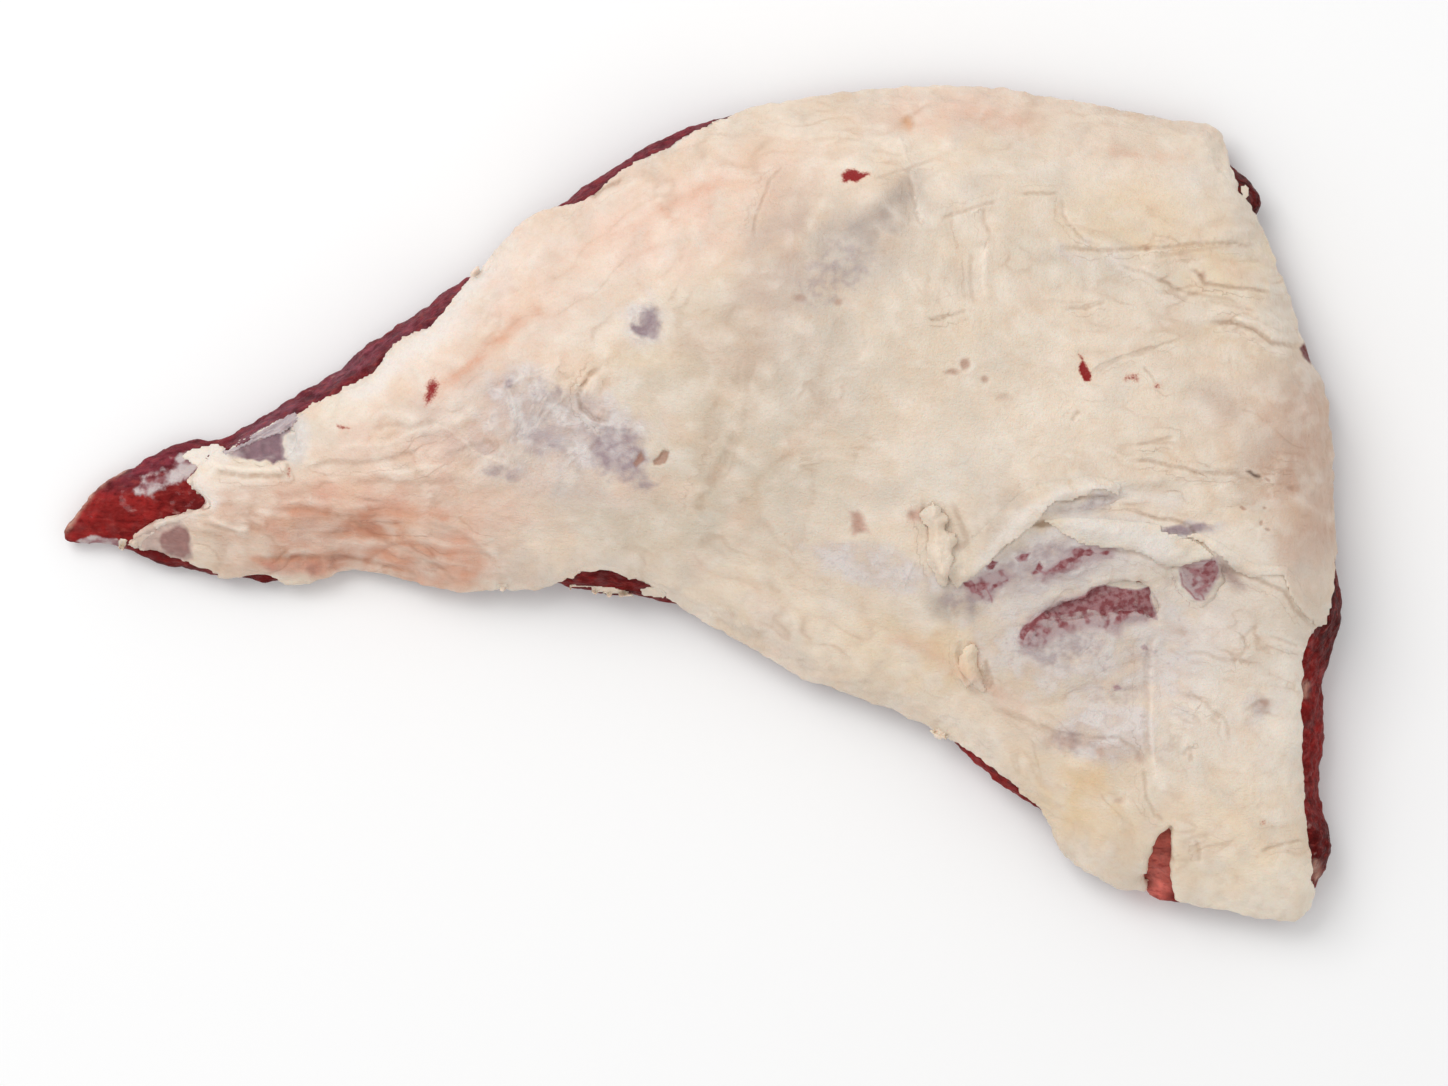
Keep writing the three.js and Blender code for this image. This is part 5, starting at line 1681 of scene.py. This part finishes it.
def colour_fat(piece, covered=0.0):
    """Paints a piece of fat. Covered is 1 for what lies on top, where nothing shows through."""
    plan = seen_from_camera(points_of(piece))
    bare = 1 - covered
    frayed = along_edges(plan)
    wandering = bent(plan, 1.8, 8, 97)
    write_field(piece, "paint", fat_paint(plan, covered == 0))
    write_field(piece, "wisps", wisp_shares(plan))
    slate = blotch_field(wandering, SLATE, 0.5)
    write_field(piece, "film", bare * np.maximum(slate, patch_field(frayed, FILM_PATCHES)))
    purple = blotch_field(bent(plan, 1.0, 4, 99), PURPLE, 0.5)
    write_field(piece, "deep", bare * np.maximum(purple, patch_field(frayed, DEEP_PATCHES)))
    write_field(piece, "meat", bare * patch_field(bent(plan, 0.15, 1.2, 101), MEAT_PATCHES))
    spots = np.maximum(patch_field(frayed, BLOOD_PATCHES), blotch_field(frayed, BLOOD_SPOTS, 0.8))
    write_field(piece, "blood", bare * spots)
    pits = np.maximum(blotch_field(frayed, RUST, 0.8), patch_field(plan, PIT_PATCHES))
    write_field(piece, "rust", bare * pits)
    across, strength = stroke_fields(along_creases(plan), CREASES)
    write_field(piece, "crease_across", across)
    write_field(piece, "crease_strength", bare * strength)
    _, wave, strength = wrinkle_fields(plan)
    write_field(piece, "wave_across", wave / WAVE_LINE)
    write_field(piece, "wave_strength", bare * strength * ramp(rough(plan, 9, 2, 170), -0.15, 0.4))
    across, strength = stroke_fields(bent(plan, 0.3, 1.6, 105), VEINS)
    write_field(piece, "vein_across", across)
    write_field(piece, "vein_strength", bare * strength)


for piece in [fat_layer, *floors]:
    colour_fat(piece)
for piece in sheets + shreds + scraps:
    colour_fat(piece, covered=1.0)
print("fat painted")

# %% Colours of the lean
LEAN_RED = card(106, 24, 26)
LEAN_COLOURS = [
    (BRIGHT, card(142, 34, 32), 0.6),
    (PLUM, card(112, 44, 54), 0.5),
    (WINE, card(98, 18, 18), 0.5),
    (MAUVE, card(122, 72, 84), 0.35),
    (WALL, card(120, 24, 22), 0.4),
    (DARK_RED, card(74, 4, 3), 0.5),
    # Pink of the slit, lightened as painted light.
    (PINK, card(206, 112, 100), 0.5),
]
TAN = card(198, 156, 138)
LEAN_FILMS = [("fascia of the tail", 1.6, 0.85, TAIL_FASCIA), ("low film", 0.5, 1, LOW_TAIL_FILM)]
LEAN_SHADES = [("streaks", (1, 0.25, 1), 1.1), ("blotches", (1, 1, 1), 2.6)]


def colour_lean(piece):
    """Paints a piece of lean, with the films on it and where it is wet."""
    plan = seen_from_camera(points_of(piece))
    fibres = points_of(piece) * (0.2, 1, 1)
    paint = np.tile(LEAN_RED, (len(plan), 1)) * (1 + 0.4 * rough(fibres, 3, 3, 110))[:, None]
    wandering = bent(plan, 1.0, 5, 111)
    for i, (marks, colour, soft) in enumerate(LEAN_COLOURS):
        shade = (1 + 0.45 * rough(fibres * (1.6, 1, 1), 3.4, 3, 113 + i))[:, None]
        paint = mixed_in(paint, colour * shade, blotch_field(wandering, marks, soft))
    frayed = bent(plan, 0.4, 2.2, 120)
    paint = mixed_in(paint, TAN, 0.9 * ridge_field(frayed, RIM))
    for _, stretch, size in LEAN_SHADES:
        paint = paint * (1 + 0.25 * rough(points_of(piece) * stretch, size, 2, 150))[:, None]
    write_field(piece, "paint", np.clip(paint, 0, 1))
    write_field(piece, "film", patch_field(frayed, LEAN_FILMS))
    write_field(piece, "wet", ramp(normals_of(piece)[:, 2], 0.3, 0.8))


for piece in (lean_meat, bare_strip):
    colour_lean(piece)
print("lean painted")

# %% [markdown]
# Building materials
#
# A material is a small machine of nodes. These helpers add a node, feed its inputs and mix colours, so that
# each material below reads as a list of layers, from the bottom one up.

# %% Helpers for nodes
def new_material(name):
    """A new material and its tree of nodes."""
    material = bpy.data.materials.new(name)
    material.use_nodes = True
    return material, material.node_tree


def feed(tree, node, feeds):
    """Gives a node's inputs, by name or number, a value each, or links an output to them."""
    for place, value in feeds.items():
        if isinstance(value, bpy.types.NodeSocket):
            tree.links.new(value, node.inputs[place])
        else:
            node.inputs[place].default_value = value


def add_node(tree, kind, feeds, **settings):
    """Adds a node with these settings and feeds."""
    node = tree.nodes.new(kind)
    for name, value in settings.items():
        setattr(node, name, value)
    feed(tree, node, feeds)
    return node


def maths(tree, operation, first, second=0.0):
    """What an operation makes of one or two numbers or outputs."""
    return add_node(tree, "ShaderNodeMath", {0: first, 1: second}, operation=operation).outputs[0]


def added(tree, first, second):
    return maths(tree, "ADD", first, second)


def times(tree, first, second):
    return maths(tree, "MULTIPLY", first, second)


# %% Helpers for paint
def mixed(tree, share, below, above, blend="MIX"):
    """Above over below by share."""
    opaque = [(*c, 1) if isinstance(c, (tuple, np.ndarray)) else c for c in (below, above)]
    feeds = {0: share, 6: opaque[0], 7: opaque[1]}
    return add_node(tree, "ShaderNodeMix", feeds, data_type="RGBA", blend_type=blend).outputs[2]


def darkened(tree, share, paint, tint):
    """Paint multiplied by a tint, by share."""
    return mixed(tree, share, paint, tint, "MULTIPLY")


def graded(tree, value, low, high, end=1.0, start=0.0):
    """Turns low..high into start..end, eased."""
    feeds = {"Value": value, "From Min": low, "From Max": high, "To Min": start, "To Max": end}
    return add_node(tree, "ShaderNodeMapRange", feeds, interpolation_type="SMOOTHSTEP").outputs["Result"]


def ragged(tree, edge, grain, amount):
    """A painted field, raised and lowered by a noise, so that its edge frays."""
    return added(tree, edge, graded(tree, grain, 0.3, 0.7, amount, start=-amount))


def field(tree, name, output="Fac"):
    """What is painted on the points of a piece under this name."""
    return add_node(tree, "ShaderNodeAttribute", {}, attribute_name=name).outputs[output]


# %% Helpers for noise
def place_in(tree):
    """Where each point of a piece lies, in metres."""
    return tree.nodes.new("ShaderNodeTexCoord").outputs["Object"]


def laid_along(tree, where, turn, squeeze):
    """Places in which noise is drawn out along a line that is turned by this many degrees."""
    turned = add_node(tree, "ShaderNodeMapping", {"Vector": where, "Rotation": (0, 0, -math.radians(turn))})
    feeds = {"Vector": turned.outputs["Vector"], "Scale": (squeeze, 1, 1)}
    return add_node(tree, "ShaderNodeMapping", feeds).outputs["Vector"]


def soft_noise(tree, where, scale, detail, **more):
    """Soft noise from 0 to 1. Scale is how many of its patches fit in a metre."""
    feeds = {"Vector": where, "Scale": scale, "Detail": detail}
    return add_node(tree, "ShaderNodeTexNoise", feeds | more).outputs["Fac"]


def per_metre(tree, size):
    """How many of this size in mm fit in a metre."""
    return maths(tree, "DIVIDE", 1 / MM, size)


# %% Helpers for node groups
def new_group(name, numbers, outputs):
    """A node group with number inputs and their usual values, and named outputs."""
    tree = bpy.data.node_groups.new(name, "ShaderNodeTree")
    for label, value in numbers.items():
        socket = tree.interface.new_socket(label, in_out="INPUT", socket_type="NodeSocketFloat")
        socket.default_value = value
    for label in outputs:
        tree.interface.new_socket(label, in_out="OUTPUT", socket_type="NodeSocketFloat")
    return tree, tree.nodes.new("NodeGroupInput"), tree.nodes.new("NodeGroupOutput")


def use_group(tree, group, **numbers):
    """Puts a node group in a tree; a number's name is its input's, such as patch_size for Patch Size."""
    feeds = {label.replace("_", " ").title(): value for label, value in numbers.items()}
    return add_node(tree, "ShaderNodeGroup", feeds, node_tree=group)


# %% [markdown]
# Two effects that the materials share
#
# "Waxy mottle" gives soft patches, a fine grain and a height for the bump. "Wisps" gives fine fibres that run
# along the piece's own direction at each place: four noises, each drawn out another way, in painted shares.

# %% Waxy mottle
usual = {"Patch Size": 5.0, "Grain Size": 1.2}
mottle, entry, leave = new_group("Waxy mottle", usual, ("Patches", "Grain", "Height"))
where = place_in(mottle)
patches = soft_noise(mottle, where, per_metre(mottle, entry.outputs["Patch Size"]), 4)
grain = soft_noise(mottle, where, per_metre(mottle, entry.outputs["Grain Size"]), 3)
height = added(mottle, times(mottle, patches, 2), grain)
feed(mottle, leave, {"Patches": patches, "Grain": grain, "Height": height})
print("group", mottle.name)

# %% Wisps
WISP_STRETCH = 0.22

wisps, entry, leave = new_group("Wisps", {"Width": 1.5}, ("Wisps",))
where = place_in(wisps)
scale = per_metre(wisps, entry.outputs["Width"])
shares = add_node(wisps, "ShaderNodeAttribute", {}, attribute_name="wisps")
parts = add_node(wisps, "ShaderNodeSeparateColor", {"Color": shares.outputs["Color"]})
total = 0.5
for turn, share in zip(WISP_TURNS, (*parts.outputs, shares.outputs["Alpha"])):
    strands = soft_noise(wisps, laid_along(wisps, where, turn, WISP_STRETCH), scale, 4)
    total = added(wisps, total, times(wisps, maths(wisps, "SUBTRACT", strands, 0.5), share))
feed(wisps, leave, {"Wisps": total})
print("group", wisps.name)

# %% [markdown]
# Threads
#
# Thin connective threads wander through the fat. They are where a soft noise passes through its middle value,
# and a second, broader noise hides most of them.

# %% Threads
threads, entry, leave = new_group("Threads", {"Size": 8.0, "Thickness": 0.02}, ("Threads",))
where = place_in(threads)
scale = per_metre(threads, entry.outputs["Size"])
wandering = soft_noise(threads, where, scale, 2, Distortion=0.7)
off_middle = maths(threads, "ABSOLUTE", maths(threads, "SUBTRACT", wandering, 0.5))
feeds = {"Vector": where, "Scale": scale, "Detail": 1, "W": 3}
cover = add_node(threads, "ShaderNodeTexNoise", feeds, noise_dimensions="4D").outputs["Fac"]
line = graded(threads, off_middle, entry.outputs["Thickness"], 0.0)
feed(threads, leave, {"Threads": times(threads, line, graded(threads, cover, 0.48, 0.62))})
print("group", threads.name)

# %% [markdown]
# Fat
#
# Beef fat is waxy: pale, a little translucent, with a soft sheen. From the bottom up: the painted colour with
# its wisps, which holds painted highlight on ridges and painted shade in wrinkle valleys; film, where
# lavender shows; darker meat seen through thinner film; bare red flecks in the tears; blood; small rusty
# pits; and the creases, wrinkle valleys and red threads, which are drawn from their distance fields. The
# creases and the wrinkle valleys are darkened as painted shade.

# %% Colours and surface of the fat
PALE_WISP = card(240, 229, 216)
LAVENDER = card(186, 172, 172)
WHITE_WISP = card(220, 211, 206)
WEB = card(156, 130, 134)
PLUM_GREY = card(152, 131, 136)
PALE_PLUM = card(176, 162, 166)
FLECK = card(162, 112, 115)
DARK_FLECK = card(128, 50, 56)
HALO = card(174, 147, 149)
BLOOD_HALO = card(206, 130, 102)
BLOOD_RED = card(140, 10, 6)
RUSTY = card(168, 122, 100)
DARKER = (0.88, 0.77, 0.7)
# Painted shade, multiplied into the creases and the valleys between wrinkles.
PAINTED_CREASE_SHADE = (0.62, 0.5, 0.42)
WAXY = {
    "Specular IOR Level": 0.35,
    "Subsurface Weight": 0.25,
    "Subsurface Radius": (1.0, 0.5, 0.35),
    "Subsurface Scale": 1.2 * MM,
}


def finish_surface(tree, surface, paint, height, bump):
    """Puts colour and relief on a surface with these values; bump is the height of the relief in mm."""
    relief = add_node(tree, "ShaderNodeBump", {"Height": height, "Distance": bump * MM, "Strength": 1.0})
    feeds = {"Base Color": paint, "Normal": relief.outputs["Normal"]}
    feed(tree, tree.nodes["Principled BSDF"], surface | feeds)


def line_mask(tree, name, breaks, spread):
    """A thin line from a painted distance field, broken up by noise."""
    across = maths(tree, "ABSOLUTE", field(tree, name + "_across"))
    line = times(tree, graded(tree, across, spread, 0.2), field(tree, name + "_strength"))
    return times(tree, line, breaks)


# %% Fat: the painted colour and its wisps
fat, tree = new_material("fat")
waxy = use_group(tree, mottle, patch_size=3.5, grain_size=1.0)
fine = use_group(tree, mottle, patch_size=1.5, grain_size=0.5)
broad_wisps = use_group(tree, wisps, width=2.2).outputs["Wisps"]
fine_wisps = use_group(tree, wisps, width=0.9).outputs["Wisps"]
place = place_in(tree)

paint = field(tree, "paint", "Color")
paint = darkened(tree, graded(tree, broad_wisps, 0.5, 0.34, 0.5), paint, DARKER)
paint = mixed(tree, graded(tree, broad_wisps, 0.5, 0.66, 0.4), paint, PALE_WISP)
paint = darkened(tree, graded(tree, fine_wisps, 0.48, 0.36, 0.25), paint, DARKER)
paint = darkened(tree, graded(tree, fine.outputs["Patches"], 0.5, 0.3, 0.2), paint, DARKER)
paint = darkened(tree, graded(tree, fine.outputs["Grain"], 0.55, 0.35, 0.14), paint, DARKER)
print("fat: wisps in place")

# %% Fat: film, and the darker meat behind it
fine_threads = use_group(tree, threads, size=6, thickness=0.06).outputs["Threads"]
milk = soft_noise(tree, place, 190, 1.5)
clouds = soft_noise(tree, place, 400, 1.5)
flecks = soft_noise(tree, place, 620, 4)

film_share = graded(tree, ragged(tree, field(tree, "film"), milk, 0.22), 0.25, 1.0, 0.9)
film_paint = mixed(tree, graded(tree, milk, 0.38, 0.6, 0.9), LAVENDER, WHITE_WISP)
film_paint = mixed(tree, times(tree, fine_threads, 0.25), film_paint, WEB)
film_paint = mixed(tree, graded(tree, flecks, 0.54, 0.74, 0.35), film_paint, WEB)
paint = mixed(tree, film_share, paint, film_paint)
deep_share = graded(tree, ragged(tree, field(tree, "deep"), clouds, 0.16), 0.17, 1.05)
deep_paint = mixed(tree, graded(tree, fine.outputs["Patches"], 0.45, 0.7, 0.3), PLUM_GREY, PALE_PLUM)
paint = mixed(tree, deep_share, paint, deep_paint)
print("fat: film in place")

# %% Fat: bare flecks in the tears
bare_meat = field(tree, "meat")
near_meat = graded(tree, bare_meat, 0.0, 0.2)
meat_noise = times(tree, graded(tree, clouds, 0.3, 0.7, 0.3, start=-0.3), near_meat)
meat_share = graded(tree, added(tree, bare_meat, meat_noise), 0.38, 0.9, 0.93)
meat_paint = mixed(tree, graded(tree, flecks, 0.4, 0.62), DARK_FLECK, FLECK)
paint = mixed(tree, graded(tree, bare_meat, 0.08, 0.45, 0.8), paint, HALO)
paint = mixed(tree, meat_share, paint, meat_paint)
print("fat: flecks in place")

# %% Fat: blood, pits, threads and creases
blood_edge = ragged(tree, field(tree, "blood"), fine.outputs["Grain"], 0.12)
paint = mixed(tree, graded(tree, blood_edge, 0.12, 0.5, 0.4), paint, BLOOD_HALO)
paint = mixed(tree, graded(tree, blood_edge, 0.3, 0.75), paint, BLOOD_RED)
paint = mixed(tree, graded(tree, field(tree, "rust"), 0.1, 0.9, 0.75), paint, RUSTY)
breaks = graded(tree, waxy.outputs["Grain"], 0.3, 0.52, start=0.5)
paint = mixed(tree, line_mask(tree, "vein", breaks, 1.5), paint, FLECK)
# Painted shade: the valleys between wrinkles and the creases are darkened along their lines.
wave_line = line_mask(tree, "wave", breaks, 2.4)
paint = darkened(tree, times(tree, wave_line, 0.55), paint, PAINTED_CREASE_SHADE)
crease_line = line_mask(tree, "crease", breaks, 2.4)
paint = darkened(tree, times(tree, crease_line, 0.75), paint, PAINTED_CREASE_SHADE)
print("fat: lines in place")

# %% Fat: relief and sheen
height = maths(tree, "SUBTRACT", waxy.outputs["Height"], added(tree, crease_line, wave_line))
for layer, share in ((broad_wisps, 6), (fine_wisps, 2), (fine.outputs["Grain"], 1)):
    height = added(tree, height, times(tree, layer, share))
roughness = graded(tree, added(tree, film_share, meat_share), 0.0, 1.2, 0.3, start=0.46)
finish_surface(tree, WAXY | {"Roughness": roughness}, paint, height, 0.15)
print("fat:", len(tree.nodes), "nodes")

# %% [markdown]
# Lean
#
# Raw muscle is wet and dark. Fine fibres run along the joint, flecks of fat lie between them, and pale films
# of connective tissue cling to the tail. A clear coat in places stands for the moisture.

# %% Lean material
BETWEEN_FIBRES = (0.5, 0.3, 0.35)
FIBRE_RED = card(172, 70, 62)
FAT_FLECK = card(196, 150, 142)
MAUVE_FILM = card(164, 128, 132)
WHITE_FILM = card(204, 192, 190)
MOIST = {
    "Roughness": 0.45,
    "Specular IOR Level": 0.06,
    "Subsurface Weight": 0.1,
    "Subsurface Radius": (1.0, 0.2, 0.1),
    "Subsurface Scale": 1.0 * MM,
    "Coat Roughness": 0.07,
    "Coat IOR": 1.35,
}

lean, tree = new_material("lean")
waxy = use_group(tree, mottle, patch_size=3.0, grain_size=0.7)
along_joint = laid_along(tree, place_in(tree), 0, 0.4)
fibres = soft_noise(tree, along_joint, 800, 4)
marbling = soft_noise(tree, along_joint, 330, 6)

paint = field(tree, "paint", "Color")
paint = darkened(tree, graded(tree, fibres, 0.5, 0.3, 0.75), paint, BETWEEN_FIBRES)
paint = mixed(tree, graded(tree, fibres, 0.52, 0.72, 0.35), paint, FIBRE_RED)
paint = mixed(tree, graded(tree, marbling, 0.66, 0.76, 0.5), paint, FAT_FLECK)
film_edge = ragged(tree, field(tree, "film"), waxy.outputs["Patches"], 0.3)
film_paint = mixed(tree, graded(tree, waxy.outputs["Patches"], 0.4, 0.65), MAUVE_FILM, WHITE_FILM)
paint = mixed(tree, graded(tree, film_edge, 0.25, 0.9, 0.85), paint, film_paint)

height = added(tree, waxy.outputs["Height"], times(tree, fibres, 2.5))
wet = times(tree, graded(tree, waxy.outputs["Patches"], 0.5, 0.62, 0.5), field(tree, "wet"))
finish_surface(tree, MOIST | {"Coat Weight": wet}, paint, height, 0.25)
print("lean:", len(tree.nodes), "nodes")

# %% [markdown]
# Sinew
#
# The strap over the window at the tail is a bundle of whitish-grey fibres, smooth and rather shiny.

# %% Sinew material
DARK_SINEW = card(162, 144, 148)
PALE_SINEW = card(190, 176, 176)
STRAP_TURN = 31

sinew, tree = new_material("sinew")
waxy = use_group(tree, mottle, patch_size=2.0, grain_size=0.6)
fibres = soft_noise(tree, laid_along(tree, place_in(tree), STRAP_TURN, 0.1), 1300, 3)
paint = mixed(tree, graded(tree, fibres, 0.35, 0.65), DARK_SINEW, PALE_SINEW)
roughness = graded(tree, waxy.outputs["Grain"], 0.3, 0.7, 0.45, start=0.3)
finish_surface(tree, WAXY | {"Roughness": roughness}, paint, fibres, 0.2)
print("sinew:", len(tree.nodes), "nodes")

# %% [markdown]
# Putting it together
#
# Each piece gets its material and smooth shading and rides on the joint's one body, and the solid that it
# was made from is hidden.

# %% Finish the pieces
def finish_piece(piece, material, node):
    piece.data.materials.clear()
    piece.data.materials.append(material)
    pick_out(piece)
    bpy.ops.object.shade_smooth()
    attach(piece, "root")
    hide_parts(node)


lean_pieces = [lean_meat, bare_strip]
fat_pieces = [fat_layer, *floors, *sheets, *shreds, *scraps]
for piece in lean_pieces:
    finish_piece(piece, lean, "lean")
for piece in fat_pieces:
    finish_piece(piece, fat, "fat_cap")
for piece in straps:
    finish_piece(piece, sinew, "fat_cap")
print(len(lean_pieces) + len(fat_pieces) + len(straps), "pieces finished")
